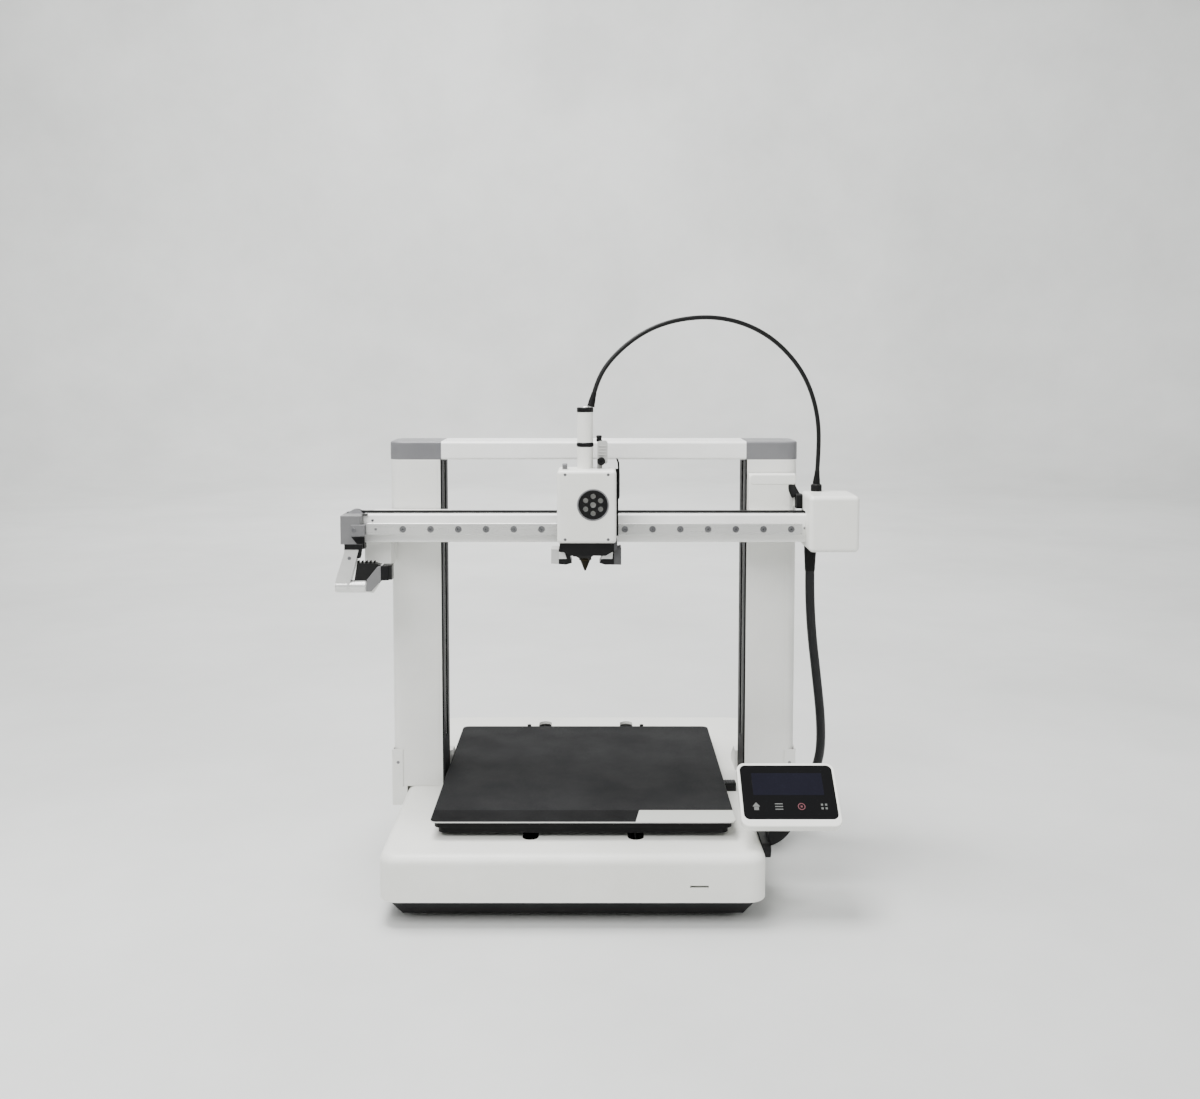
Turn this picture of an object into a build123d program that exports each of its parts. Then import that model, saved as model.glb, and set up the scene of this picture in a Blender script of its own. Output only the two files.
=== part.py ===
from build123d import *
import math
import os

# FDM printer with a sliding bed. Millimetres, +Z up, X to the right, Y towards the back.
# X = 0 is the plane midway between the two posts, Y = 0 the middle of the base,
# Z = 0 the surface it stands on.

# Base
base_depth = 390.0
notch_width = 35.0           # the front right corner steps in, to leave room for the screen
notch_depth = 150.0
front_corner_radius = 16.0
rear_corner_radius = 28.0
step_radius = 10.0
shell_bottom = 22.0
shell_height = 39.0
shell_wall = 3.0
shell_edge_radius = 8.0
shell_inner_radius = 2.5
tray_bottom = 5.0
tray_top_inset = 3.0
tray_slope_inset = 15.0
tray_floor = 3.5
foot_radius = 12.0

# Bed
bed_center_x = -9.0
plate_width = 260.0
plate_length = 265.0
plate_front = 34.0           # from the front of the base, at rest
plate_thickness = 1.2
plate_corner_radius = 6.0
heater_thickness = 5.3
heater_inset = 3.0
frame_thickness = 5.5
frame_inset = 6.0
bed_clearance = 4.0          # between the base's top and the bed frame
bed_reach_front = 198.5      # travel towards the front
bed_reach_back = 51.5        # travel towards the back

# Guides, screws and motors
rod_radius = 4.0
rod_height = 36.0
rod_spacing = 90.0
running_clearance = 0.05
motor_size = 42.3
motor_length = 24.0
motor_boss_radius = 11.0
motor_boss_height = 2.0
bearing_block_length = 24.0
bearing_block_width = 20.0
carriage_front = 228.0       # from the front of the base, at rest
carriage_length = 94.0
carriage_thickness = 5.0
carriage_gap = 9.0           # from the rods' centres up to the underside of the carriage plate
standoff_radius = 5.0
slot_clearance = 2.0

# Openings in the base's walls
card_x = 87.0
card_z = 35.5
card_width = 15.4
card_height = 2.0
inlet_x = (-150.0, -88.0)
inlet_z = (27.0, 51.0)
socket_x = -133.0
vent_x = (60.0, 120.0)
vent_slots = 5
vent_bottom = 28.0
vent_pitch = 5.0
harness_place = 226.0        # from the front of the base
harness_z = 43.0
harness_hole_gap = 2.0

# Board, supply and switch
board_x = (58.0, 134.0)
board_back = 140.0           # from the front of the base
board_gap = 3.5
psu_x = (-156.0, -76.0)
psu_place = (22.0, 152.0)    # from the front of the base
psu_height = 36.0
psu_fan_radius = 26.0
psu_fan_depth = 12.0
psu_fan_place = (-116.0, 70.0)
rocker_x = -100.0
rocker_width = 12.0
rocker_height = 18.0
rocker_rest = 8.0
rocker_gap = 0.4
rocker_axle_radius = 1.5
rocker_axle_reach = 1.4      # past each side of the rocker

# Belts and pulleys
belt_width = 6.0
belt_thickness = 1.4
belt_inner_radius = 5.7
pulley_teeth = 20
pulley_gap = 0.15
flange_radius = 8.5
flange_thickness = 1.0
flange_gap = 0.25
pin_radius = 2.5
y_motor_from_back = 18.85    # from the back of the base to the bed motor's back
y_idler_place = 29.0
clamp_half_length = 12.0

# Posts and top beam
post_width = 47.0
post_front = 163.0           # from the front of the base
post_depth = 45.0
post_height = 313.0
post_wall = 2.5
post_foot = 4.0
post_outer_radius = 8.0
strip_thickness = 1.6
plate_side_gap = 5.0         # between the build plate's wider side and the posts
post_outside = 9.5           # from a post's inner face to its lead screw
guide_spacing = 22.5         # from a lead screw to its guide rod
motor_gap = 0.35             # between a lift motor and the base's side wall
arm_slot_width = 14.0
arm_thickness = 10.0
beam_height = 17.0
beam_depth = 51.0
beam_wall = 2.5
beam_tongue = 5.0
cap_radius = 11.0
bracket_low = 43.0
bracket_high = 97.0
bracket_thickness = 1.2
gusset_overhang = 4.0

# Gantry
gantry_drop = 204.0          # travel down from rest
gantry_rise = 48.0           # travel up from rest
x_beam_left = -209.0
x_beam_right = 195.0
x_beam_front = 123.0         # from the front of the base
x_beam_depth = 25.0
x_beam_bottom = 302.0
x_beam_height = 25.5
x_beam_wall = 2.5
rail_depth = 8.0
rail_height = 9.5
rail_center_z = 315.0
rail_left = -205.0
rail_right = 188.0
rail_pitch = 25.0
rail_holes = 15
rail_holes_center_x = 3.0
rail_screw_radius = 2.9
rail_screw_depth = 3.0
block_clearance = 0.08
belt_lift = 0.6              # from the beam's top to the belt
post_gap = 1.5               # between the carriages and the posts
carriage_block_bottom = 286.0
carriage_block_top = 322.0
carriage_arm_bottom = 309.0
carriage_foot_x = (-210.5, -186.5)
carriage_foot_bottom = 277.5
carriage_foot_lip = 12.0
carriage_cover_top = 361.5
carriage_cover_right = 187.5
carriage_cover_radius = 7.0
end_block_left = -227.5
end_block_front = 110.0
box_left = 192.0
box_width = 44.5
box_front = 100.0
box_behind_beam = 2.0        # from the beam's back to the box's back
box_bottom = 296.0
box_height = 50.5
box_wall = 2.5
box_radius = 4.0
x_motor_size = 35.2
x_motor_length = 26.0
gland_x = 205.2
gland_place = 143.0          # from the front of the base
gland_radius = 5.0
gland_height = 6.7
boot_left = 186.5
boot_top = 344.0
lead_radius = 4.2
lead_start = (179.0, 155.0, 358.0)
lead_end = (187.0, 147.0, 342.0)

# Toolhead
head_center_x = -6.0
head_width = 51.0
head_front = 66.0
head_bottom = 309.5
head_height = 63.0
cover_depth = 37.0
cover_wall = 2.0
cover_radius = 3.0
filament_x = -7.5
filament_y = 93.0
nozzle_tip = 281.5
fan_x = -0.5
fan_z = 343.0
fan_radius = 12.6
blower_z = 320.5
blower_radius = 8.5
gear_teeth = 16
gear_pitch_radius = 5.5
gear_tip_rise = 0.2           # above the pitch circle, low enough for the lever to swing clear
gear_tooth_half = (0.45, 0.15)  # at the root and at the tip
gear_z = 358.0
guide_radius = 7.0
guide_top = 421.8
fitting_height = 4.0
lever_pivot_x = 0.5
lever_pivot_z = 353.0
lever_bar_x = (3.0, 7.5)
lever_tab_x = (3.2, 12.2)
lever_tab_rise = (4.0, 24.0)  # above the cover's top
inlet_radius = 2.05
guide_groove = (391.2, 395.2)
heater_bottom = 296.0
heater_top = 311.0
heatsink_bottom = 318.0
shelf_z = 347.0

# Purge station
knuckle_radius = 5.5
wiper_axis_y = 107.0
wiper_axis_z = 264.5
purge_arm_outline = [
    (-222.0, x_beam_bottom), (-209.0, x_beam_bottom), (-209.5, 297.0), (-217.3, 270.0),
    (-217.3, 262.0), (-230.5, 262.0), (-230.5, 270.0), (-222.0, 297.0),
]
purge_knuckle_x = (-231.0, -217.3)
wiper_knuckle_x = (-216.6, -197.0)
wiper_pin_left = -226.5
wiper_end_outline = [
    (-204.0, 261.0), (-197.0, 259.5), (-189.5, 271.0), (-180.0, 271.5),
    (-180.0, 284.5), (-192.0, 284.5), (-201.0, 268.0),
]
wiper_pad_outline = [
    (-214.5, 268.0), (-194.0, 268.0), (-190.0, 284.0), (-195.0, 286.0), (-211.5, 286.0),
]

# Screen
screen_width = 84.0
screen_length = 60.0
screen_thickness = 10.0
screen_tilt = 39.0
screen_from_side = 22.0      # from the base's stepped side to the screen's middle
screen_lugs = (4.0, 30.0)    # from the base's stepped side
lug_half_width = 2.0
screen_low_y = 11.0          # the lower edge of its face, from the front of the base
screen_low_z = 82.0
screen_axis_y = 50.0
screen_axis_z = 83.0
screen_knuckle_radius = 7.0
glass_thickness = 1.2
glass_margin = 2.5
glass_lip = 6.5
bracket_plate = 7.0
bracket_z = (46.0, 58.0)
bracket_reach = 30.0          # radius of the arm's rounded outline

# Cords
cable_diameter = 4.0
harness_diameter = 8.6

front = -base_depth / 2
shell_top = shell_bottom + shell_height
inside_top = shell_top - shell_wall
tray_floor_top = tray_bottom + tray_floor
bed_bottom = shell_top + bed_clearance
plate_bottom = bed_bottom + frame_thickness + heater_thickness
plate_top = plate_bottom + plate_thickness
post_y = front + post_front + post_depth / 2
post_inner_x = plate_width / 2 + abs(bed_center_x) + plate_side_gap
screw_x = post_inner_x + post_outside
guide_x = screw_x + guide_spacing
base_half_width = screw_x + motor_size / 2 + motor_gap + shell_wall
y_motor_place = base_depth - y_motor_from_back - motor_size / 2
post_top = shell_top + post_height
beam_bottom = post_top
x_beam_top = x_beam_bottom + x_beam_height
pulley_z = x_beam_top + belt_lift - belt_inner_radius
x_belt_y = front + x_beam_front + x_beam_depth / 2 - 0.5
box_center_x = box_left + box_width / 2
x_idler_x = -217.6
board_bottom = card_z - 3.5
board_y = (front + shell_wall + board_gap, front + board_back)
psu_y = (front + psu_place[0], front + psu_place[1])
harness_y = front + harness_place
harness_hole = harness_diameter / 2 + harness_hole_gap
pulley_length = belt_width + 2 * flange_gap + 2 * flange_thickness
beam_front = front + post_front
beam_end_x = post_inner_x - 1.0
carriage_plate_front = front + x_beam_front + x_beam_depth
carriage_plate_back = front + post_front - post_gap
box_back = carriage_plate_front + box_behind_beam
gland_y = front + gland_place
head_left = head_center_x - head_width / 2
head_right = head_center_x + head_width / 2
head_top = head_bottom + head_height
head_y = front + head_front
head_axis_y = front + filament_y
frame_back = front + x_beam_front - rail_depth - 6.5
duct_front = head_y + 6.0
duct_back = head_axis_y + 6.0
extruder_x = filament_x - gear_pitch_radius
side_step_x = base_half_width - notch_width
screen_center_x = side_step_x + screen_from_side
lug_xs = (side_step_x + screen_lugs[0], side_step_x + screen_lugs[1])
rod_xs = (bed_center_x - rod_spacing / 2, bed_center_x + rod_spacing / 2)
carriage_bottom = rod_height + carriage_gap
carriage_top = carriage_bottom + carriage_thickness
bearing_places = (
    front + carriage_front + bearing_block_length / 2,
    front + carriage_front + carriage_length - bearing_block_length / 2,
)
y_belt_bottom = rod_height + 1.0
parts = {}


def block(x0, x1, y0, y1, z0, z1):
    """A box from its corners."""
    return Pos((x0 + x1) / 2, (y0 + y1) / 2, (z0 + z1) / 2) * Box(x1 - x0, y1 - y0, z1 - z0)


def disc(x, y, z0, z1, radius):
    """A cylinder that stands up, along Z."""
    return Pos(x, y, (z0 + z1) / 2) * Cylinder(radius, z1 - z0)


def disc_y(x, z, y0, y1, radius):
    """A cylinder that lies along Y."""
    return Pos(x, (y0 + y1) / 2, z) * Rot(90, 0, 0) * Cylinder(radius, y1 - y0)


def disc_x(y, z, x0, x1, radius):
    """A cylinder that lies along X."""
    return Pos((x0 + x1) / 2, y, z) * Rot(0, 90, 0) * Cylinder(radius, x1 - x0)


def group(solids):
    """Separate solids that share a node."""
    return Compound(children=list(solids))


def side_profile(points, y0, y1):
    """An outline in X and Z, carried from y0 to y1."""
    face = make_face(Polyline(*[(x, y0, z) for x, z in points], close=True))
    return extrude(face, y1 - y0, dir=(0, 1, 0))


def base_outline():
    """The base seen from above, on Z = 0."""
    back = front + base_depth
    step_y = front + notch_depth
    notch_x = base_half_width - notch_width
    corners = [
        (-base_half_width, front),
        (notch_x, front),
        (notch_x, step_y),
        (base_half_width, step_y),
        (base_half_width, back),
        (-base_half_width, back),
    ]
    face = Sketch() + make_face(Polyline(*corners, close=True))
    radii = [
        (front_corner_radius, [(-base_half_width, front), (notch_x, front)]),
        (step_radius, [(notch_x, step_y), (base_half_width, step_y)]),
        (rear_corner_radius, [(base_half_width, back), (-base_half_width, back)]),
    ]
    for radius, places in radii:
        for x, y in places:
            corner = face.vertices().sort_by_distance(Vector(x, y, 0))[0]
            face = fillet(corner, radius)
    return face


def slab(inset, z0, z1):
    """The base's outline, drawn in by an inset, between two heights."""
    return extrude(Pos(0, 0, z0) * offset(base_outline(), amount=-inset), z1 - z0)


def sloped_tray(inset, bottom):
    """The tray's outer shape: full width at the top, drawn in towards the bottom."""
    slope = math.degrees(math.atan(tray_slope_inset / (shell_bottom - tray_bottom)))
    top = Pos(0, 0, shell_bottom) * offset(base_outline(), amount=-inset)
    return extrude(top, shell_bottom - bottom, dir=(0, 0, -1), taper=slope)


def make_base_shell():
    outer = slab(0, shell_bottom, shell_top)
    outer = fillet(outer.faces().sort_by(Axis.Z)[-1].edges(), shell_edge_radius)
    inner = slab(shell_wall, shell_bottom, inside_top)
    inner = fillet(inner.faces().sort_by(Axis.Z)[-1].edges(), shell_inner_radius)
    shell = outer - inner
    slot_half = standoff_radius + slot_clearance
    slot_front = bearing_places[0] - bed_reach_front
    slot_back = bearing_places[1] + bed_reach_back
    for x in rod_xs:
        shell -= block(x - slot_half, x + slot_half, slot_front, slot_back, inside_top - 1, shell_top + 1)
        shell -= disc(x, slot_front, inside_top - 1, shell_top + 1, slot_half)
        shell -= disc(x, slot_back, inside_top - 1, shell_top + 1, slot_half)
    for side in (-1, 1):
        shell -= disc(side * screw_x, post_y, inside_top - 1, shell_top + 1, rod_radius + slot_clearance)
    back = front + base_depth
    shell -= block(
        card_x - card_width / 2, card_x + card_width / 2, front - 1, front + shell_wall + 1,
        card_z - card_height / 2, card_z + card_height / 2,
    )
    shell -= block(*inlet_x, back - shell_wall - 1, back + 1, *inlet_z)
    for row in range(vent_slots):
        z = vent_bottom + row * vent_pitch
        shell -= block(*vent_x, back - shell_wall - 1, back + 1, z, z + vent_pitch / 2)
    shell -= disc_x(harness_y, harness_z, base_half_width - shell_wall - 1, base_half_width + 1, harness_hole)
    return shell


def make_base_tray():
    """The tray with its rod clamps, board posts and the pin of the belt's idler."""
    outer = sloped_tray(tray_top_inset, tray_bottom)
    inner = sloped_tray(tray_top_inset + tray_floor, tray_floor_top)
    tray = outer - inner
    room = outer + slab(shell_wall + 0.5, shell_bottom, inside_top)
    bosses = []
    clamp_top = rod_height + rod_radius + 3.0
    for x in rod_xs:
        for y0, y1 in rod_clamps():
            bosses.append(block(x - 9, x + 9, y0, y1, tray_floor_top - 1, clamp_top))
    for x, y in board_posts():
        bosses.append(disc(x, y, tray_floor_top - 1, board_bottom, 3.5))
    idler_y = front + y_idler_place
    boss_top = y_belt_bottom - flange_thickness - 0.5
    bosses.append(disc(bed_center_x, idler_y, tray_floor_top - 1, boss_top, 6.0))
    bosses.append(disc(bed_center_x, idler_y, y_belt_bottom - 2, carriage_bottom - 0.5, pin_radius))
    for boss in bosses:
        tray += boss & room
    for x in rod_xs:
        tray -= disc_y(x, rod_height, front, front + base_depth, rod_radius)
    return tray


def rod_clamps():
    """Where the two rod clamps start and end along Y."""
    nearest = front + carriage_front - bed_reach_front - 4.0
    farthest = front + carriage_front + carriage_length + bed_reach_back + 4.0
    return [(front + shell_wall + 3, nearest - 2), (farthest, front + base_depth - shell_wall - 1)]


def board_posts():
    inset = 10.0
    return [
        (x, y)
        for x in (board_x[0] + inset, board_x[1] - inset)
        for y in (board_y[0] + 2 * inset, board_y[1] - inset)
    ]


def make_mainboard():
    """The controller board with its card reader, drivers and connectors."""
    top = board_bottom + 1.6
    board = block(*board_x, *board_y, board_bottom, top)
    reader_front = front + shell_wall + 0.3
    reader = block(card_x - 9, card_x + 9, reader_front, reader_front + 18, top, card_z + 2)
    reader -= block(
        card_x - card_width / 2, card_x + card_width / 2, reader_front - 1, reader_front + 15,
        card_z - card_height / 2, card_z + card_height / 2,
    )
    board += reader
    for column in range(4):
        x = board_x[0] + 12 + column * 17
        board += block(x - 5, x + 5, board_y[0] + 70, board_y[0] + 80, top, top + 6)
        board += block(x - 6, x + 6, board_y[1] - 12, board_y[1] - 5, top, top + 8)
    board += block(board_x[0] + 24, board_x[0] + 44, board_y[0] + 34, board_y[0] + 54, top, top + 2)
    return board


def make_power_supply():
    """A perforated case with the cooling fan's well in its top."""
    top = tray_floor_top + psu_height
    case = block(*psu_x, *psu_y, tray_floor_top, top)
    x, y = psu_fan_place[0], front + psu_fan_place[1]
    case -= disc(x, y, top - psu_fan_depth, top + 1, psu_fan_radius + 1.5)
    case += disc(x, y, top - psu_fan_depth - 1, top - 2, 2.0)
    for row in range(6):
        z = tray_floor_top + 6 + row * 3.0
        case -= block(psu_x[0] - 1, psu_x[0] + 3, psu_y[0] + 20, psu_y[1] - 20, z, z + 1.2)
    return case


def make_fan(radius, hub_radius, bore, height, blades):
    """A fan rotor that stands on Z = 0, with its axis on Z."""
    fan = Cylinder(hub_radius, height, align=(Align.CENTER, Align.CENTER, Align.MIN))
    blade = Pos(radius / 2, 0, height / 2) * Rot(35, 0, 0) * Box(radius - 1.0, 1.0, height * 1.1)
    keep = Cylinder(radius, height, align=(Align.CENTER, Align.CENTER, Align.MIN))
    for turn in range(blades):
        fan += (Rot(0, 0, turn * 360 / blades) * blade) & keep
    fan -= Cylinder(bore, height * 3)
    return fan


def make_power_supply_fan():
    top = tray_floor_top + psu_height
    fan = make_fan(psu_fan_radius, 9.0, 2.0 + running_clearance, psu_fan_depth - 3.0, 7)
    x, y = psu_fan_place[0], front + psu_fan_place[1]
    return Pos(x, y, top - psu_fan_depth + 1.0) * fan


def make_power_inlet():
    """The mains inlet with its three pins, and the switch's frame beside it."""
    back = front + base_depth
    body = block(
        inlet_x[0] + 0.1, inlet_x[1] - 0.1, back - 28, back - 0.1, inlet_z[0] + 0.1, inlet_z[1] - 0.1,
    )
    middle = (inlet_z[0] + inlet_z[1]) / 2
    body -= block(socket_x - 12.3, socket_x + 12.3, back - 16, back + 1, middle - 8.2, middle + 8.2)
    for x, z in ((-7, -2), (7, -2), (0, 3)):
        pin = (socket_x + x - 1, socket_x + x + 1, back - 17, back - 7, middle + z - 2, middle + z + 2)
        body += block(*pin)
    half_x = rocker_width / 2 + rocker_gap
    half_z = rocker_height / 2 + 2 * rocker_gap
    body -= block(rocker_x - half_x, rocker_x + half_x, back - 14, back + 1, middle - half_z, middle + half_z)
    reach = rocker_width / 2 + rocker_axle_reach + 0.1
    return body - disc_x(
        back - 2.5, middle, rocker_x - reach, rocker_x + reach, rocker_axle_radius + running_clearance,
    )


def make_rocker_switch():
    """The rocker, tipped to its off side, on its own axle."""
    back = front + base_depth
    middle = (inlet_z[0] + inlet_z[1]) / 2
    half = rocker_height / 2
    outline = [
        (-half, 0), (-half + 1, 3.0), (0, 1.6), (half - 1, 3.0), (half, 0), (half - 3, -6), (3 - half, -6),
    ]
    face = make_face(Polyline(*[(0, y, z) for z, y in outline], close=True))
    rocker = Pos(-rocker_width / 2, 0, 0) * extrude(face, rocker_width, dir=(1, 0, 0))
    reach = rocker_width / 2 + rocker_axle_reach
    rocker += disc_x(0, 0, -reach, reach, rocker_axle_radius)
    return Pos(rocker_x, back - 2.5, middle) * Rot(-rocker_rest, 0, 0) * rocker


def make_rubber_feet():
    places = [(-130, 40), (100, 40), (-130, base_depth - 45), (130, base_depth - 45)]
    feet = []
    for x, y in places:
        foot = disc(x, front + y, 0, tray_bottom, foot_radius)
        feet.append(fillet(foot.edges().sort_by(Axis.Z)[0], 1.5))
    return group(feet)


def make_guide_rods():
    """Two rods under the bed, and one in each post."""
    clamps = rod_clamps()
    rods = [disc_y(x, rod_height, clamps[0][0], clamps[1][1], rod_radius) for x in rod_xs]
    for side in (-1, 1):
        rods.append(disc(side * guide_x, post_y, shell_top, post_top + beam_height / 2, rod_radius))
    return group(rods)


def motor_at(x, y, z0):
    """A square motor that stands up, with a hole right through for its screw or shaft."""
    half = motor_size / 2
    body = block(x - half, x + half, y - half, y + half, z0, z0 + motor_length)
    body = fillet(body.edges().filter_by(Axis.Z), 4.0)
    body += disc(x, y, z0 + motor_length - 1, z0 + motor_length + motor_boss_height, motor_boss_radius)
    return body - disc(x, y, z0 - 1, z0 + motor_length * 2, rod_radius + running_clearance)


def make_base_motors():
    z_motor_bottom = inside_top - motor_length - motor_boss_height
    motors = [motor_at(side * screw_x, post_y, z_motor_bottom) for side in (-1, 1)]
    motors.append(motor_at(bed_center_x, front + y_motor_place, tray_floor_top))
    return group(motors)


def make_lead_screw(side):
    """A screw, plain, from its motor up to the bearing in the beam's end cap."""
    bottom = inside_top - motor_length
    top = post_top + beam_height / 2
    return disc(side * screw_x, post_y, bottom, top, rod_radius)


def make_pulley(bore):
    """A toothed pulley with two flanges, from Z = 0 up, with its axis on Z."""
    tooth_height = belt_width + 2 * flange_gap
    radius = belt_inner_radius - pulley_gap
    on_floor = (Align.CENTER, Align.CENTER, Align.MIN)
    drum = Cylinder(radius, tooth_height, align=on_floor)
    groove = Pos(radius, 0, 0) * Cylinder(0.45, tooth_height, align=on_floor)
    for tooth in range(pulley_teeth):
        drum -= Rot(0, 0, tooth * 360 / pulley_teeth) * groove
    flange = Cylinder(flange_radius, flange_thickness, align=on_floor)
    pulley = Pos(0, 0, flange_thickness) * drum + flange
    pulley += Pos(0, 0, flange_thickness + tooth_height) * flange
    if bore:
        pulley -= Cylinder(bore, 100)
    return pulley


def make_y_drive_pulley():
    """The pulley with the motor shaft that it sits on."""
    y = front + y_motor_place
    bottom = y_belt_bottom - flange_gap - flange_thickness
    pulley = Pos(bed_center_x, y, bottom) * make_pulley(0)
    return pulley + disc(bed_center_x, y, tray_floor_top + 4, bottom, rod_radius)


def make_y_idler_pulley():
    bottom = y_belt_bottom - flange_gap - flange_thickness
    place = Pos(bed_center_x, front + y_idler_place, bottom)
    return place * make_pulley(pin_radius + running_clearance)


def make_belt(length):
    """A belt loop from Z = 0 up, round two pulleys a distance apart along X, the first at the origin."""
    outer_radius = belt_inner_radius + belt_thickness
    loop = []
    for radius in (outer_radius, belt_inner_radius):
        ring = Cylinder(radius, belt_width) + Pos(length, 0, 0) * Cylinder(radius, belt_width)
        loop.append(ring + Pos(length / 2, 0, 0) * Box(length, 2 * radius, belt_width))
    return Pos(0, 0, belt_width / 2) * (loop[0] - loop[1])


def make_y_belt():
    place = Pos(bed_center_x, front + y_idler_place, y_belt_bottom)
    return place * Rot(0, 0, 90) * make_belt(y_motor_place - y_idler_place)


def make_bed_carriage():
    """The plate that runs on the rods, with its bearing blocks, belt clamp and standoffs."""
    y0 = front + carriage_front
    y1 = y0 + carriage_length
    half = bearing_block_width / 2
    plate = block(rod_xs[0] - half - 4, rod_xs[1] + half + 4, y0, y1, carriage_bottom, carriage_top)
    plate = fillet(plate.edges().filter_by(Axis.Z), 5.0)
    for x in rod_xs:
        for y in bearing_places:
            reach = bearing_block_length / 2
            plate += block(x - half, x + half, y - reach, y + reach, rod_height - half + 1, carriage_bottom)
            plate += disc(x, y, carriage_top, bed_bottom, standoff_radius)
        plate -= disc_y(x, rod_height, y0 - 1, y1 + 1, rod_radius + running_clearance)
    run_x = bed_center_x + belt_inner_radius
    middle = (y0 + y1) / 2
    gap = 0.2
    clamp = block(
        run_x - 3, run_x + belt_thickness + 3, middle - clamp_half_length, middle + clamp_half_length,
        y_belt_bottom - 2, carriage_bottom,
    )
    clamp -= block(
        run_x - gap, run_x + belt_thickness + gap, y0, y1,
        y_belt_bottom - gap, y_belt_bottom + belt_width + gap,
    )
    return plate + clamp


def bed_slab(inset, z0, z1, radius):
    """The bed's outline, drawn in by an inset, between two heights."""
    half = plate_width / 2 - inset
    y0 = front + plate_front + inset
    y1 = front + plate_front + plate_length - inset
    body = block(bed_center_x - half, bed_center_x + half, y0, y1, z0, z1)
    return fillet(body.edges().filter_by(Axis.Z), radius)


def make_bed_frame():
    """The pan under the heater, with two pins that the build plate is pushed against."""
    pan = bed_slab(frame_inset, bed_bottom, bed_bottom + frame_thickness, plate_corner_radius)
    rear = front + plate_front + plate_length
    for side in (-1, 1):
        x = bed_center_x + side * 60
        pan += block(x - 6, x + 6, rear - frame_inset - 1, rear + 6, bed_bottom, bed_bottom + frame_thickness)
        pan += disc(x, rear + 2.3, bed_bottom, plate_top + 1, 2.0)
    return pan


def make_heater_plate():
    """The heated plate with its magnetic sheet."""
    bottom = bed_bottom + frame_thickness
    return bed_slab(heater_inset, bottom, plate_bottom, plate_corner_radius)


def make_build_plate():
    """The loose steel sheet; its edges are softened."""
    sheet = bed_slab(0, plate_bottom, plate_top, plate_corner_radius)
    return fillet(sheet.faces().sort_by(Axis.Z)[-1].edges(), 0.3)


def arm_slot(side):
    """The opening along a post's inner face that its carriage's arm passes through."""
    low = carriage_arm_bottom - gantry_drop - slot_clearance
    high = carriage_block_top + gantry_rise + slot_clearance / 2
    half = arm_slot_width / 2
    xs = sorted((side * (post_inner_x - strip_thickness - 1), side * (post_inner_x + post_wall + 1)))
    return block(*xs, post_y - half, post_y + half, low, high)


def make_post(side):
    """A hollow post with a foot, open along its inner face."""
    xs = sorted((side * post_inner_x, side * (post_inner_x + post_width)))
    y0 = post_y - post_depth / 2
    y1 = post_y + post_depth / 2
    post = block(*xs, y0, y1, shell_top, post_top)
    outer_edges = post.edges().filter_by(Axis.Z).sort_by(Axis.X)
    outer_edges = outer_edges[-2:] if side > 0 else outer_edges[:2]
    post = fillet(outer_edges, post_outer_radius)
    hollow = block(xs[0] + post_wall, xs[1] - post_wall, y0 + post_wall, y1 - post_wall,
                   shell_top + post_foot, post_top + 1)
    inner_edges = hollow.edges().filter_by(Axis.Z).sort_by(Axis.X)
    inner_edges = inner_edges[-2:] if side > 0 else inner_edges[:2]
    hollow = fillet(inner_edges, post_outer_radius - post_wall)
    post -= hollow
    post -= arm_slot(side)
    hole = rod_radius + slot_clearance
    post -= disc(side * screw_x, post_y, shell_top - 1, shell_top + post_foot + 1, hole)
    post -= disc(side * guide_x, post_y, shell_top - 1, shell_top + post_foot + 1, rod_radius)
    return post


def make_post_inner_strip(side):
    xs = sorted((side * post_inner_x, side * (post_inner_x - strip_thickness)))
    half = post_depth / 2 - 1.0
    strip = block(*xs, post_y - half, post_y + half, shell_top, post_top)
    return strip - arm_slot(side)


def beam_slab(x0, x1, z0, z1, inset):
    return block(x0, x1, beam_front + inset, beam_front + beam_depth - inset, z0, z1)


def make_top_beam():
    """A hollow crossbar with a narrower tongue at each end for the caps."""
    top = beam_bottom + beam_height
    bar = beam_slab(-beam_end_x, beam_end_x, beam_bottom, top, 0)
    bar = fillet(bar.edges().filter_by(Axis.X), 2.5)
    tongue = beam_end_x + beam_tongue
    bar += beam_slab(-tongue, tongue, beam_bottom + beam_wall + 0.2, top - beam_wall - 0.2, beam_wall + 0.2)
    inset = 2 * beam_wall
    return bar - beam_slab(-tongue - 1, tongue + 1, beam_bottom + inset, top - inset, inset)


def make_beam_cap(side):
    """An end cap that closes the post and holds the upper ends of its screw and rod."""
    top = beam_bottom + beam_height
    end = post_inner_x + post_width + 1.0
    cap = beam_slab(*sorted((side * beam_end_x, side * end)), beam_bottom, top, 0)
    edges = cap.edges().filter_by(Axis.Z).sort_by(Axis.X)
    edges = edges[-2:] if side > 0 else edges[:2]
    cap = fillet(edges, cap_radius)
    rim = cap.faces().sort_by(Axis.Z)[-1].edges()
    cap = fillet(rim.filter_by(lambda e: abs(e.center().X) > beam_end_x + 0.5), 2.0)
    hollow_end = beam_end_x + beam_tongue + 0.2
    xs = sorted((side * (beam_end_x - 1), side * hollow_end))
    cap -= beam_slab(*xs, beam_bottom + beam_wall, top - beam_wall, beam_wall)
    socket_top = post_top + beam_height / 2
    cap -= disc(side * screw_x, post_y, beam_bottom - 1, socket_top + 0.2, rod_radius + running_clearance)
    cap -= disc(side * guide_x, post_y, beam_bottom - 1, socket_top, rod_radius)
    return cap


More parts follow.
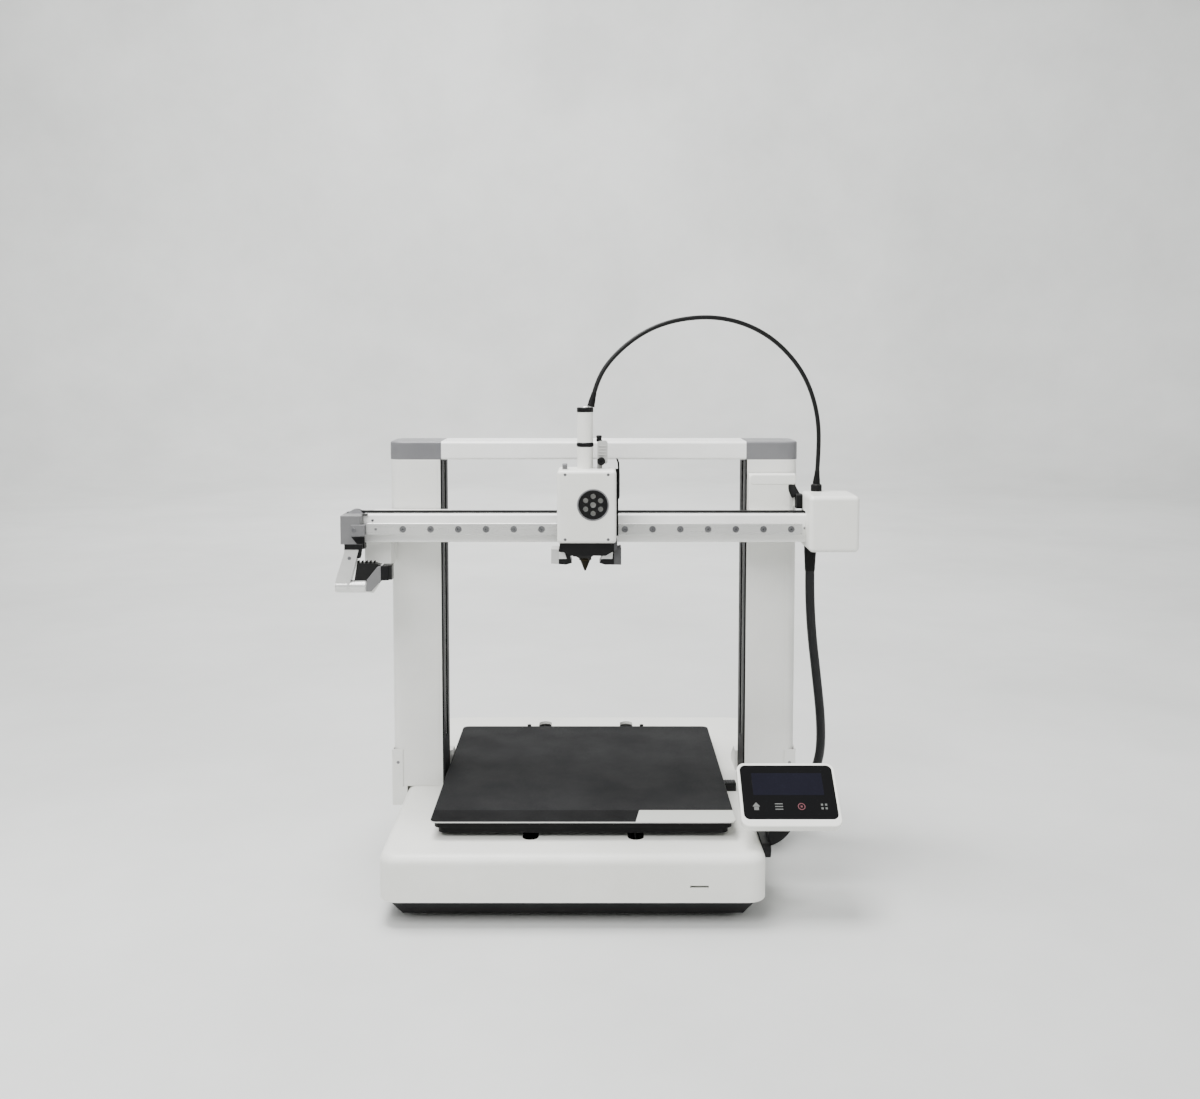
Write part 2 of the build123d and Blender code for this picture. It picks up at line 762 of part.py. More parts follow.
def make_side_brackets():
    """An angle at the foot of each post, and a gusset behind it."""
    pieces = []
    outer = post_inner_x + post_width
    y0 = front + post_front
    for side in (-1, 1):
        plate = block(*sorted((side * outer, side * (outer + bracket_thickness))), y0 - bracket_thickness,
                      y0 + post_depth - 9, shell_top, bracket_high)
        plate += block(*sorted((side * (outer - 9), side * outer)), y0 - bracket_thickness, y0,
                       shell_top, bracket_high)
        plate += block(*sorted((side * base_half_width, side * (outer + bracket_thickness))),
                       y0 - bracket_thickness, y0 + post_depth - 9, bracket_low, shell_top)
        pieces.append(plate)
        y1 = y0 + post_depth
        x0, x1 = sorted((side * (post_inner_x - gusset_overhang), side * (post_inner_x + 5)))
        face = make_face(Polyline(
            (x0, y1, shell_top), (x0, y1 + 34, shell_top), (x0, y1 + 34, shell_top + 6),
            (x0, y1 + 14, shell_top + 20), (x0, y1, shell_top + 20), close=True,
        ))
        pieces.append(extrude(face, x1 - x0, dir=(1, 0, 0)))
    return group(pieces)


def make_carriage_core(side):
    """The guided block in a post and the arm that reaches round to the post's front."""
    inner = post_inner_x + post_wall + 1.0
    outer = post_inner_x + post_width - post_wall - 1.0
    half_depth = post_depth / 2 - post_wall - 5.0
    core = block(*sorted((side * inner, side * outer)), post_y - half_depth, post_y + half_depth,
                 carriage_block_bottom, carriage_block_top)
    arm_inner = post_inner_x - 11.0
    half_arm = arm_thickness / 2
    core += block(*sorted((side * arm_inner, side * (inner + 1))), post_y - half_arm, post_y + half_arm,
                  carriage_arm_bottom, carriage_block_top)
    core += block(*sorted((side * arm_inner, side * (arm_inner + 8))), carriage_plate_front,
                  post_y + half_arm, carriage_arm_bottom, carriage_block_top)
    for x in (screw_x, guide_x):
        core -= disc(side * x, post_y, carriage_block_bottom - 1, carriage_block_top + 1,
                     rod_radius + running_clearance)
    return core


def make_left_z_carriage():
    """The left carriage, with the block that hangs below the gantry beam."""
    inner = post_inner_x - 11.0
    plate = block(x_beam_left + 4, -inner, carriage_plate_front, carriage_plate_back,
                  carriage_arm_bottom, x_beam_top)
    foot = block(*carriage_foot_x, carriage_plate_front, carriage_plate_back,
                 carriage_foot_bottom, carriage_arm_bottom + 4)
    foot = fillet(foot.edges().filter_by(Axis.Z), 2.0)
    lip = block(*carriage_foot_x, carriage_plate_front - carriage_foot_lip, carriage_plate_front + 2,
                carriage_foot_bottom, x_beam_bottom)
    return make_carriage_core(-1) + plate + foot + lip


def make_right_z_carriage():
    """The right carriage, with its tall rounded front cover."""
    inner = post_inner_x - 11.0
    top = carriage_cover_top
    right = carriage_cover_right
    cover = block(post_inner_x + 0.5, right, carriage_plate_front, carriage_plate_back, x_beam_bottom, top)
    rim = cover.faces().sort_by(Axis.Y)[0].edges()
    rim = rim.filter_by(lambda e: e.center().Z > top - 0.1 or e.center().X > right - 0.5)
    cover = fillet(rim, carriage_cover_radius)
    cover += block(inner, post_inner_x + 1, carriage_plate_front, carriage_plate_back,
                   carriage_arm_bottom, carriage_block_top)
    return make_carriage_core(1) + cover


def make_x_beam():
    y0 = front + x_beam_front
    y1 = y0 + x_beam_depth
    beam = block(x_beam_left, x_beam_right, y0, y1, x_beam_bottom, x_beam_top)
    beam = fillet(beam.edges().filter_by(Axis.X), 1.5)
    wall = x_beam_wall
    return beam - block(x_beam_left - 1, x_beam_right + 1, y0 + wall, y1 - wall,
                        x_beam_bottom + wall, x_beam_top - wall)


def rail_hole_xs():
    half = (rail_holes - 1) / 2
    return [rail_holes_center_x + (i - half) * rail_pitch for i in range(rail_holes)]


def make_x_rail():
    """The guide rail, waisted along both sides and bored for its screws."""
    y1 = front + x_beam_front
    y0 = y1 - rail_depth
    half = rail_height / 2
    rail = block(rail_left, rail_right, y0, y1, rail_center_z - half, rail_center_z + half)
    for side in (-1, 1):
        waist_z = rail_center_z + side * (half + 0.6)
        rail -= disc_x(y0 + rail_depth / 2, waist_z, rail_left - 1, rail_right + 1, 1.6)
    for x in rail_hole_xs():
        rail -= disc_y(x, rail_center_z, y0 - 1, y0 + rail_screw_depth + 0.6, rail_screw_radius + 0.2)
    return rail


def make_rail_screws():
    """Socket-head screws sunk in the rail's holes."""
    y0 = front + x_beam_front - rail_depth
    screws = []
    for x in rail_hole_xs():
        head = disc_y(x, rail_center_z, y0 + 0.6, y0 + rail_screw_depth + 0.6, rail_screw_radius)
        hexagon = extrude(RegularPolygon(1.4, 6), 1.5, both=True)
        socket = Pos(x, y0 + 1.2, rail_center_z) * Rot(90, 0, 0) * hexagon
        screws.append(head - socket)
    return group(screws)


def make_left_end_block():
    """The beam's left end, cut open for the belt, with the idler's axle across it."""
    y0 = front + end_block_front
    y1 = carriage_plate_front
    body = block(end_block_left, x_beam_left, y0, y1, x_beam_bottom, x_beam_top)
    body = fillet(body.edges().filter_by(Axis.Z), 1.5)
    half = pulley_length / 2 + 0.5
    body -= block(end_block_left + 1.0, x_beam_left + 1, x_belt_y - half, x_belt_y + half,
                  x_beam_bottom + 2.5, x_beam_top + 1)
    axle = disc_y(x_idler_x, pulley_z, x_belt_y - half - 2, x_belt_y + half + 2, pin_radius)
    return body + axle


def upright_pulley(x, bore):
    """A pulley with its axis along Y, in the plane of the X belt."""
    place = Pos(x, x_belt_y + pulley_length / 2, pulley_z)
    return place * Rot(90, 0, 0) * make_pulley(bore)


def make_x_idler_pulley():
    return upright_pulley(x_idler_x, pin_radius + running_clearance)


def make_x_drive_pulley():
    """The pulley with the motor shaft that it sits on."""
    shaft_front = front + box_front + box_wall + 4
    shaft = disc_y(box_center_x, pulley_z, shaft_front, x_belt_y - pulley_length / 2, pin_radius)
    return upright_pulley(box_center_x, 0) + shaft


def make_x_belt():
    place = Pos(x_idler_x, x_belt_y + belt_width / 2, pulley_z)
    return place * Rot(90, 0, 0) * make_belt(box_center_x - x_idler_x)


def make_x_motor():
    y0 = front + box_front + box_wall
    half = x_motor_size / 2
    body = block(box_center_x - half, box_center_x + half, y0, y0 + x_motor_length,
                 pulley_z - half, pulley_z + half)
    body = fillet(body.edges().filter_by(Axis.Y), 3.0)
    bore = pin_radius + running_clearance
    return body - disc_y(box_center_x, pulley_z, y0 + 2, y0 + x_motor_length + 1, bore)


def make_x_end_box():
    """The white cover over the X motor, open on its left for the beam and the belt."""
    y0 = front + box_front
    y1 = box_back
    right = box_left + box_width
    top = box_bottom + box_height
    box = block(box_left, right, y0, y1, box_bottom, top)
    box = fillet(box.edges(), box_radius)
    wall = box_wall
    inner = block(box_left + wall, right - wall, y0 + wall, y1 - wall, box_bottom + wall, top - wall)
    box -= fillet(inner.edges(), box_radius - wall)
    return box - block(box_left - 1, box_left + wall + 1, front + x_beam_front - 0.2,
                       carriage_plate_front + 0.2, x_beam_bottom - 0.2,
                       pulley_z + belt_inner_radius + belt_thickness + 0.6)


def make_cable_boots():
    """The gland on the end box, and the moulded lead from the carriage's cover to the box."""
    top = box_bottom + box_height
    gland = disc(gland_x, gland_y, top, top + gland_height, gland_radius)
    gland = chamfer(gland.edges().sort_by(Axis.Z)[-1], 1.0)
    shift = Vector(0, front, 0)
    start = Vector(*lead_start) + shift
    path = Vector(*lead_end) + shift - start
    lead = Cylinder(lead_radius, path.length, align=(Align.CENTER, Align.CENTER, Align.MIN))
    lead = Plane(origin=start, z_dir=path) * lead
    boot = block(boot_left, box_left, gland_y - 5, box_back - 0.5, x_beam_top + 3.2, boot_top)
    boot = fillet(boot.edges().filter_by(Axis.X), 2.0)
    return group([gland, boot + lead - make_right_z_carriage()])


def make_purge_bracket():
    """A sloping arm under the left end block, with the wiper's outer knuckle."""
    y0 = wiper_axis_y - 6 + front
    y1 = wiper_axis_y + 6 + front
    arm = side_profile(purge_arm_outline, y0, y1)
    arm += disc_x(front + wiper_axis_y, wiper_axis_z, *purge_knuckle_x, knuckle_radius)
    arm += block(-222, -209, y0, front + end_block_front + 12, x_beam_bottom - 4, x_beam_bottom)
    return arm - disc_x(front + wiper_axis_y, wiper_axis_z, wiper_pin_left - 0.5, purge_knuckle_x[1] + 1,
                        pin_radius + running_clearance)


def make_wiper_arm():
    """The sprung arm: its knuckle and pin, the wiper pad and the lifted end."""
    y = front + wiper_axis_y
    arm = disc_x(y, wiper_axis_z, *wiper_knuckle_x, knuckle_radius)
    arm += disc_x(y, wiper_axis_z, wiper_pin_left, wiper_knuckle_x[0] + 0.6, pin_radius)
    arm += side_profile(wiper_end_outline, y - 5, y + 5)
    return arm + side_profile(wiper_pad_outline, y - 3, y + 4.8)


def make_x_carriage():
    """The block that rides on the rail, and the arm over the beam that grips the belt."""
    y_rail = front + x_beam_front - rail_depth
    half = rail_height / 2 + block_clearance
    x0 = head_center_x - 20
    x1 = head_center_x + 20
    body = block(x0, x1, frame_back, y_rail + rail_depth - 1.5, rail_center_z - 10, rail_center_z + 10)
    body -= block(x0 - 1, x1 + 1, y_rail - block_clearance, y_rail + rail_depth,
                  rail_center_z - half, rail_center_z + half)
    arm_bottom = pulley_z + belt_inner_radius + belt_thickness + 0.3
    body += block(x0 + 6, x1 - 6, frame_back, y_rail + rail_depth - 1.5, rail_center_z + 9, arm_bottom + 3)
    body += block(x0 + 6, x1 - 6, frame_back, x_belt_y + 5, arm_bottom, arm_bottom + 3)
    lip_z = x_beam_top + 0.5
    for y in (x_belt_y - belt_width / 2 - 1.6, x_belt_y + belt_width / 2 + 0.4):
        body += block(x0 + 6, x1 - 6, y, y + 1.2, lip_z, arm_bottom + 1)
    return body


def make_toolhead_frame():
    """The chassis: a back plate, a shelf for the gears and a front plate for the fans."""
    left = head_left + cover_wall + 0.3
    right = head_right - cover_wall - 0.3
    top = head_top - cover_wall - 0.3
    back = block(head_left + 0.5, head_right + 2.5, frame_back - 4, frame_back, head_bottom + 1, head_top - 2)
    shelf = block(left, right, head_y + 13, frame_back - 3, shelf_z - 1.5, shelf_z + 1.5)
    front_plate = block(left, right, head_y + 12, head_y + 14, head_bottom + 2, top)
    frame = back + shelf + front_plate
    frame -= disc_y(fan_x, fan_z, head_y + 11, head_y + 15, fan_radius - 2.5)
    frame += block(fan_x - 1.5, fan_x + 1.5, head_y + 12, head_y + 14, fan_z - fan_radius, fan_z + fan_radius)
    frame += disc_y(fan_x, fan_z, head_y + 5, head_y + 14, 1.0)
    frame += disc_y(fan_x, blower_z, head_y + 5, head_y + 14, 1.0)
    frame -= disc(filament_x, head_axis_y, shelf_z - 7, shelf_z + 5, inlet_radius + 1)
    frame += disc_y(lever_pivot_x, lever_pivot_z, head_axis_y + 2.5, frame_back - 3, 1.5)
    return frame


cover_screw_places = [
    (x, z)
    for x in (head_left + 7, head_right - 7)
    for z in (head_bottom + 3.5, head_top - 3.5)
]


def make_front_cover():
    """The white cover, with the fan opening, the guide's hole and the lever's slot."""
    y1 = head_y + cover_depth
    cover = block(head_left, head_right, head_y, y1, head_bottom, head_top)
    cover = fillet(cover.edges().filter_by(lambda e: e.center().Y < y1 - 1), cover_radius)
    wall = cover_wall
    cover -= block(head_left + wall, head_right - wall, head_y + wall, y1 + 1,
                   head_bottom - 1, head_top - wall)
    cover -= disc_y(fan_x, fan_z, head_y - 1, head_y + wall + 1, fan_radius)
    cover -= disc(filament_x, head_axis_y, head_top - wall - 1, head_top + 1, guide_radius + 0.1)
    cover -= block(2.5, 13.5, head_axis_y - 5.5, y1 + 1, head_top - wall - 1, head_top + 1)
    for x, z in cover_screw_places:
        cover -= disc_y(x, z, head_y - 1, head_y + 1.2, 1.3)
    return cover


def make_cover_screws():
    screws = []
    for x, z in cover_screw_places:
        head = disc_y(x, z, head_y + 0.3, head_y + 1.2, 1.3)
        screws.append(head - disc_y(x, z, head_y, head_y + 0.8, 0.6))
    return group(screws)


def make_fan_grille():
    """A round guard with one hole in the middle and six round it."""
    guard = disc_y(fan_x, fan_z, head_y - 0.6, head_y + cover_wall, fan_radius - 0.05)
    guard = fillet(guard.edges().sort_by(Axis.Y)[0], 0.5)
    guard -= disc_y(fan_x, fan_z, head_y - 2, head_y + 4, 2.5)
    for turn in range(6):
        angle = math.radians(30 + turn * 60)
        x, z = fan_x + 7.4 * math.cos(angle), fan_z + 7.4 * math.sin(angle)
        guard -= disc_y(x, z, head_y - 2, head_y + 4, 2.3)
    return guard


def head_fan(z, radius):
    fan = make_fan(radius, 4.0, 1.0 + running_clearance, 6.0, 7)
    return Pos(fan_x, head_y + 11.5, z) * Rot(90, 0, 0) * fan


def make_heatsink():
    """A finned cold end with the throat that screws into the heater block."""
    bottom = heatsink_bottom
    sink = disc(filament_x, head_axis_y, bottom, shelf_z - 1.5, 3.5)
    for fin in range(8):
        z = bottom + fin * 3.3
        sink += disc(filament_x, head_axis_y, z, z + 1.2, 8.5)
    sink += disc(filament_x, head_axis_y, heater_top, bottom + 1, 1.8)
    return sink - disc(filament_x, head_axis_y, heater_top - 1, shelf_z, 1.0)


def make_heater_block():
    block_body = block(filament_x - 11, filament_x + 9, head_axis_y - 9, head_axis_y + 9,
                       heater_bottom, heater_top)
    block_body = fillet(block_body.edges().filter_by(Axis.Z), 1.5)
    block_body -= disc_x(head_axis_y + 4, heater_bottom + 10, filament_x - 12, filament_x + 10, 3.0)
    return block_body - disc(filament_x, head_axis_y, heater_bottom - 1, heater_top + 1, 0.9)


def make_nozzle():
    """A hexagonal nozzle with a conical tip and its bore."""
    hexagon = Pos(filament_x, head_axis_y, heater_bottom - 5) * extrude(RegularPolygon(5.5, 6), 5)
    tip = Pos(filament_x, head_axis_y, (heater_bottom - 5 + nozzle_tip) / 2)
    tip *= Rot(180, 0, 0) * Cone(4.6, 0.8, heater_bottom - 5 - nozzle_tip)
    return hexagon + tip - disc(filament_x, head_axis_y, nozzle_tip - 1, heater_bottom + 1, 0.4)


def make_cooling_duct():
    """The blower's housing and the black duct that feeds air to both sides of the nozzle."""
    room = 0.4
    shroud = [
        (head_left + 2, head_bottom), (head_right + 1, head_bottom), (head_right + 1, 304),
        (head_right - 9, 298), (head_left + 11, 298), (head_left + 2, 303),
    ]
    shroud = side_profile(shroud, duct_front, duct_back)
    left_arm = side_profile([(-37, 303), (-25, 303), (-21, 299), (-19, 291), (-24, 289.5), (-37, 290.5)],
                            duct_front + 4, duct_back - 3)
    right_arm = side_profile([(23, 304), (10, 300), (5, 291), (10, 289.5), (24, 289.5), (24, 304)],
                             duct_front + 4, duct_back - 3)
    duct = shroud + left_arm + right_arm
    duct -= block(filament_x - 11 - room, filament_x + 9 + room, head_axis_y - 9 - room, duct_back + 1,
                  288, head_bottom + 1)
    duct -= block(filament_x - 6.5, filament_x + 6.5, head_axis_y - 9, head_axis_y + 9, 288, 300)
    housing = disc_y(fan_x, blower_z, head_y + 3, head_y + 11.8, blower_radius + 2)
    housing += block(fan_x - blower_radius, fan_x + blower_radius, duct_front, head_y + 11.8, 305, blower_z)
    housing -= disc_y(fan_x, blower_z, head_y + 2, head_y + 13, blower_radius + 0.7)
    return duct + (housing - block(head_left, head_right, head_y, head_y + 20, fan_z - 13, fan_z))


def make_extruder_motor():
    """A round flat motor behind the drive gear."""
    motor = disc_y(extruder_x, gear_z, head_axis_y + 5.8, frame_back - 4, 12.0)
    motor -= block(extruder_x - 13, extruder_x + 13, head_axis_y, frame_back, 345, 348.6)
    return motor - disc_y(extruder_x, gear_z, head_axis_y + 2, frame_back - 6, 2.0 + running_clearance)


def make_gear(turn):
    """A small gear with a hobbed drum, along Y from 0, its axis on the origin."""
    pitch = 360 / gear_teeth
    root = gear_pitch_radius - 0.65
    tip = gear_pitch_radius + gear_tip_rise
    gear = Cylinder(root, 3.0)
    low, high = gear_tooth_half
    tooth = Polyline((root - 0.3, -low), (tip, -high), (tip, high), (root - 0.3, low), close=True)
    tooth = extrude(make_face(tooth), 1.5, both=True)
    for i in range(gear_teeth):
        gear += Rot(0, 0, turn + i * pitch) * tooth
    gear += Pos(0, 0, -3.9) * Cylinder(gear_pitch_radius - 1.0, 5.0)
    return Rot(90, 0, 0) * gear


def make_drive_gear():
    """The gear with the motor shaft that it sits on."""
    gear = Pos(extruder_x, head_axis_y - 4, gear_z) * make_gear(0)
    return gear + disc_y(extruder_x, gear_z, head_axis_y - 4, frame_back - 7, 2.0)


def make_idler_gear():
    gear = Pos(filament_x + gear_pitch_radius, head_axis_y - 4, gear_z) * make_gear(180 / gear_teeth)
    return gear - disc_y(filament_x + gear_pitch_radius, gear_z, head_y, frame_back, 1.5 + running_clearance)


def make_tension_lever():
    """The sprung lever that presses the idler gear, with its thumb tab above the cover."""
    y0 = head_axis_y - 1.4 + 4.0
    y1 = y0 + 2.6
    idler_x = filament_x + gear_pitch_radius
    bar = block(*lever_bar_x, y0, y1, lever_pivot_z - 3, head_top + 8)
    bar += disc_y(lever_pivot_x, lever_pivot_z, y0, y1, 4.0)
    bar += block(lever_pivot_x, lever_bar_x[1], y0, y1, lever_pivot_z - 3, lever_pivot_z + 3)
    bar += block(idler_x - 2.5, lever_bar_x[1], y0, y1, gear_z - 2.5, gear_z + 2.5)
    bar += disc_y(idler_x, gear_z, head_axis_y - 6, y1, 1.5)
    rise = (head_top + lever_tab_rise[0], head_top + lever_tab_rise[1])
    tab = block(*lever_tab_x, head_axis_y - 5, head_axis_y + 5.2, *rise)
    tab = fillet(tab.edges().filter_by(Axis.Y), 2.0)
    return bar + tab - disc_y(lever_pivot_x, lever_pivot_z, y0 - 1, y1 + 1, 1.5 + running_clearance)


def make_filament_guide():
    """The tube that leads the filament down into the gears, with a shallow ring groove."""
    tube = disc(filament_x, head_axis_y, gear_z + 9, guide_top, guide_radius)
    groove = disc(filament_x, head_axis_y, *guide_groove, guide_radius + 1)
    tube -= groove - disc(filament_x, head_axis_y, *guide_groove, guide_radius - 0.8)
    under_cover = head_top - 2.1
    tube -= block(filament_x - 8, filament_x + 8, head_axis_y, head_axis_y + 8, gear_z + 8, under_cover)
    tube -= disc(filament_x, head_axis_y, gear_z, under_cover, inlet_radius + 1)
    return tube - disc(filament_x, head_axis_y, gear_z, guide_top + 1, inlet_radius)


def make_inlet_fitting():
    """The push-in collar on top of the guide."""
    ring = disc(filament_x, head_axis_y, guide_top, guide_top + fitting_height, guide_radius + 0.3)
    ring = fillet(ring.edges().sort_by(Axis.Z)[-1], 0.8)
    return ring - disc(filament_x, head_axis_y, guide_top - 1, guide_top + 6, inlet_radius)


def on_screen(shape):
    """Puts a shape drawn flat, with its face on Z = 0 and its lower edge on Y = 0, on the tilted screen."""
    return Pos(screen_center_x, front + screen_low_y, screen_low_z) * Rot(screen_tilt, 0, 0) * shape


def make_screen_housing():
    """The housing, with a recess for the glass and two lugs on the tilt axle."""
    half = screen_width / 2
    body = block(-half, half, 0, screen_length, -screen_thickness, 0)
    body = fillet(body.edges().filter_by(Axis.Z), 7.0)
    body = fillet(body.faces().sort_by(Axis.Z)[0].edges(), 3.5)
    body = fillet(body.faces().sort_by(Axis.Z)[-1].edges(), 1.0)
    body -= glass_shape(0.1)
    body = on_screen(body)
    y = front + screen_axis_y
    for x in lug_xs:
        lug = disc_x(y, screen_axis_z, x - lug_half_width, x + lug_half_width, screen_knuckle_radius)
        lug += block(x - lug_half_width, x + lug_half_width, y - 7, y + 5, screen_axis_z, screen_axis_z + 15)
        body += lug
    return body - disc_x(y, screen_axis_z, lug_xs[0] - 3, lug_xs[1] + 3, pin_radius + running_clearance)


def glass_shape(gap):
    half = screen_width / 2 - glass_margin + gap
    far = screen_length - glass_margin + gap
    glass = block(-half, half, glass_lip - gap, far, -glass_thickness, 1)
    glass = fillet(glass.edges().filter_by(Axis.Z), 5.0)
    return glass - block(-50, 50, -1, 70, 0, 2)


def make_screen_glass():
    return on_screen(glass_shape(0))


def make_screen_bracket():
    """The black bracket on the base's side that carries the screen's axle."""
    side = side_step_x
    y = front + screen_axis_y
    lug_faces = (lug_xs[0] + lug_half_width + 0.3, lug_xs[1] - lug_half_width - 0.3)
    plate = block(side, side + bracket_plate, y - 20, y + 32, *bracket_z)
    plate = fillet(plate.edges().filter_by(Axis.X), 5.0)
    low = bracket_z[0]
    face = make_face(Polyline(
        (side + 6, y - 12, low), (side + 6, y + 14, low), (side + 6, y + 8, screen_axis_z),
        (side + 6, y - 7, screen_axis_z), close=True,
    ))
    arm = extrude(face, lug_faces[1] - side - 6, dir=(1, 0, 0))
    arm = arm & disc_y(side, screen_axis_z, y - 30, y + 30, bracket_reach)
    arm += disc_x(y, screen_axis_z, *lug_faces, screen_knuckle_radius)
    arm -= block(side, lug_faces[0], y - 30, y + 30, shell_top + 1, 100)
    arm += disc_x(y, screen_axis_z, lug_xs[0] - lug_half_width, lug_xs[1] + lug_half_width, pin_radius)
    return plate + arm


# Cords: each route is a list of points, from the first fitting to the second.
cable_points = [
    (-2.5, -102.0, 426.6),
    (1.8, -99.0, 446.6),
    (13.9, -95.4, 467.1),
    (37.0, -91.0, 487.8),
    (63.0, -87.0, 500.4),
    (93.6, -82.4, 505.6),
    (119.5, -78.7, 503.9),
    (143.2, -75.2, 496.4),
    (164.3, -71.8, 483.6),
    (183.6, -67.8, 464.0),
    (196.0, -64.7, 442.8),
    (204.2, -60.8, 416.5),
    (206.6, -56.5, 388.0),
    (205.2, -52.0, 353.7),
]
harness_points = [
    (200.0, -54.0, 295.5),
    (199.6, -53.5, 262.0),
    (202.0, -52.5, 218.0),
    (208.0, -50.5, 172.0),
    (213.5, -46.0, 130.0),
    (216.0, -34.0, 94.0),
    (213.0, -14.0, 66.0),
    (201.0, 8.0, 49.0),
    (188.0, 24.0, 43.5),
    (176.5, 31.0, 43.0),
]


def corner_radii(points):
    """Each corner's radius: as large as its two straight runs allow."""
    radii = []
    for before, here, after in zip(points, points[1:], points[2:]):
        run_in = Vector(*here) - Vector(*before)
        run_out = Vector(*after) - Vector(*here)
        turn = math.radians(run_in.get_angle(run_out))
        radii.append(0.45 * min(run_in.length, run_out.length) / math.tan(turn / 2))
    return radii


def make_cord(name, points, diameter):
    """A round cord along straight runs joined by arcs; prints its length, radii and volume."""
    radii = corner_radii(points)
    path = FilletPolyline(*points, radius=radii)
    start = Plane(origin=points[0], z_dir=Vector(*points[1]) - Vector(*points[0]))
    cord = sweep(start * Circle(diameter / 2), path=path)
    expected = math.pi * diameter ** 2 / 4 * path.length
    print(name, "length", round(path.length, 1), "radii", [round(r) for r in radii])
    print(name, "volume", round(cord.volume), "section x length", round(expected))
    return cord


def build():
    """Every sub-part, by the name of its node."""
    sides = (-1, 1)
    parts["base_tray"] = make_base_tray()
    parts["base_shell"] = make_base_shell()
    parts["rubber_feet"] = make_rubber_feet()
    parts["power_supply"] = make_power_supply()
    parts["power_supply_fan"] = make_power_supply_fan()
    parts["mainboard"] = make_mainboard()
    parts["power_inlet"] = make_power_inlet()
    parts["rocker_switch"] = make_rocker_switch()
    parts["guide_rods"] = make_guide_rods()
    parts["base_motors"] = make_base_motors()
    parts["y_belt"] = make_y_belt()
    parts["y_drive_pulley"] = make_y_drive_pulley()
    parts["y_idler_pulley"] = make_y_idler_pulley()
    parts["z_posts"] = group(make_post(side) for side in sides)
    parts["post_inner_strips"] = group(make_post_inner_strip(side) for side in sides)
    parts["left_lead_screw"] = make_lead_screw(-1)
    parts["right_lead_screw"] = make_lead_screw(1)
    parts["top_beam"] = make_top_beam()
    parts["beam_end_caps"] = group(make_beam_cap(side) for side in sides)
    parts["side_brackets"] = make_side_brackets()
    parts["bed_carriage"] = make_bed_carriage()
    parts["bed_frame"] = make_bed_frame()
    parts["heater_plate"] = make_heater_plate()
    parts["build_plate"] = make_build_plate()
    parts["x_beam"] = make_x_beam()
    parts["x_rail"] = make_x_rail()
    parts["rail_screws"] = make_rail_screws()
    parts["left_z_carriage"] = make_left_z_carriage()
    parts["right_z_carriage"] = make_right_z_carriage()
    parts["left_end_block"] = make_left_end_block()
    parts["x_idler_pulley"] = make_x_idler_pulley()
    parts["x_drive_pulley"] = make_x_drive_pulley()
    parts["x_belt"] = make_x_belt()
    parts["x_motor"] = make_x_motor()
    parts["x_end_box"] = make_x_end_box()
    parts["cable_boots"] = make_cable_boots()
    parts["purge_bracket"] = make_purge_bracket()
    parts["wiper_arm"] = make_wiper_arm()
    parts["x_carriage"] = make_x_carriage()
    parts["toolhead_frame"] = make_toolhead_frame()
    parts["front_cover"] = make_front_cover()
    parts["cover_screws"] = make_cover_screws()
    parts["fan_grille"] = make_fan_grille()
    parts["hotend_fan"] = head_fan(fan_z, fan_radius - 1.5)
    parts["blower_rotor"] = head_fan(blower_z, blower_radius)
    parts["heatsink"] = make_heatsink()
    parts["heater_block"] = make_heater_block()
    parts["nozzle"] = make_nozzle()
    parts["cooling_duct"] = make_cooling_duct()
    parts["extruder_motor"] = make_extruder_motor()
    parts["drive_gear"] = make_drive_gear()
    parts["idler_gear"] = make_idler_gear()
    parts["tension_lever"] = make_tension_lever()
    parts["filament_guide"] = make_filament_guide()
    parts["inlet_fitting"] = make_inlet_fitting()
    parts["screen_bracket"] = make_screen_bracket()
    parts["screen_housing"] = make_screen_housing()
    parts["screen_glass"] = make_screen_glass()
    parts["toolhead_cable"] = make_cord("toolhead_cable", cable_points, cable_diameter)
    parts["harness_cable"] = make_cord("harness_cable", harness_points, harness_diameter)


build()
os.makedirs("parts", exist_ok=True)
for name, shape in parts.items():
    export_step(shape, f"parts/{name}.step")
print(len(parts), "nodes")
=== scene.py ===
import bpy
import bmesh
import math
from mathutils import Matrix, Vector


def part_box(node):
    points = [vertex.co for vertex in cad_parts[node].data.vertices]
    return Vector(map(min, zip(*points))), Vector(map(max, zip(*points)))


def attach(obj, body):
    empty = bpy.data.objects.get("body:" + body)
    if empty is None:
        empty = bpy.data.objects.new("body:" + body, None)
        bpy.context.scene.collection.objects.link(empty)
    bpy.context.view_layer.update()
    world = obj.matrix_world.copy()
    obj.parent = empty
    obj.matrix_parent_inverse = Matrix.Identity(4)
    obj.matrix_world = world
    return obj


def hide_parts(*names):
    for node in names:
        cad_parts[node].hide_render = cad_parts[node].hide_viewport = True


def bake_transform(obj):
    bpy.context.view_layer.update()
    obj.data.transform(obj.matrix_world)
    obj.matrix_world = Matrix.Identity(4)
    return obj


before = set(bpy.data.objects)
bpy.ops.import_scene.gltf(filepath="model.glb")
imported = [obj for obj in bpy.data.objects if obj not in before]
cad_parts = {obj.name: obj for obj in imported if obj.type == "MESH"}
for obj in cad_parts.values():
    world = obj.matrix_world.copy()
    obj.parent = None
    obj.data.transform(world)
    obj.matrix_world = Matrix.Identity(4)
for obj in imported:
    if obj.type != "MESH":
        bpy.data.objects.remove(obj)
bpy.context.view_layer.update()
scene = bpy.context.scene
mm = 0.001
print("frame loaded:", len(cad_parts), "nodes")

cameraSetup = {"place": (0.0008, -1.149, 0.4673), "tiltDown": 4.0, "lens": 35.87, "shiftX": 0.0045,
               "shiftY": -0.0884}


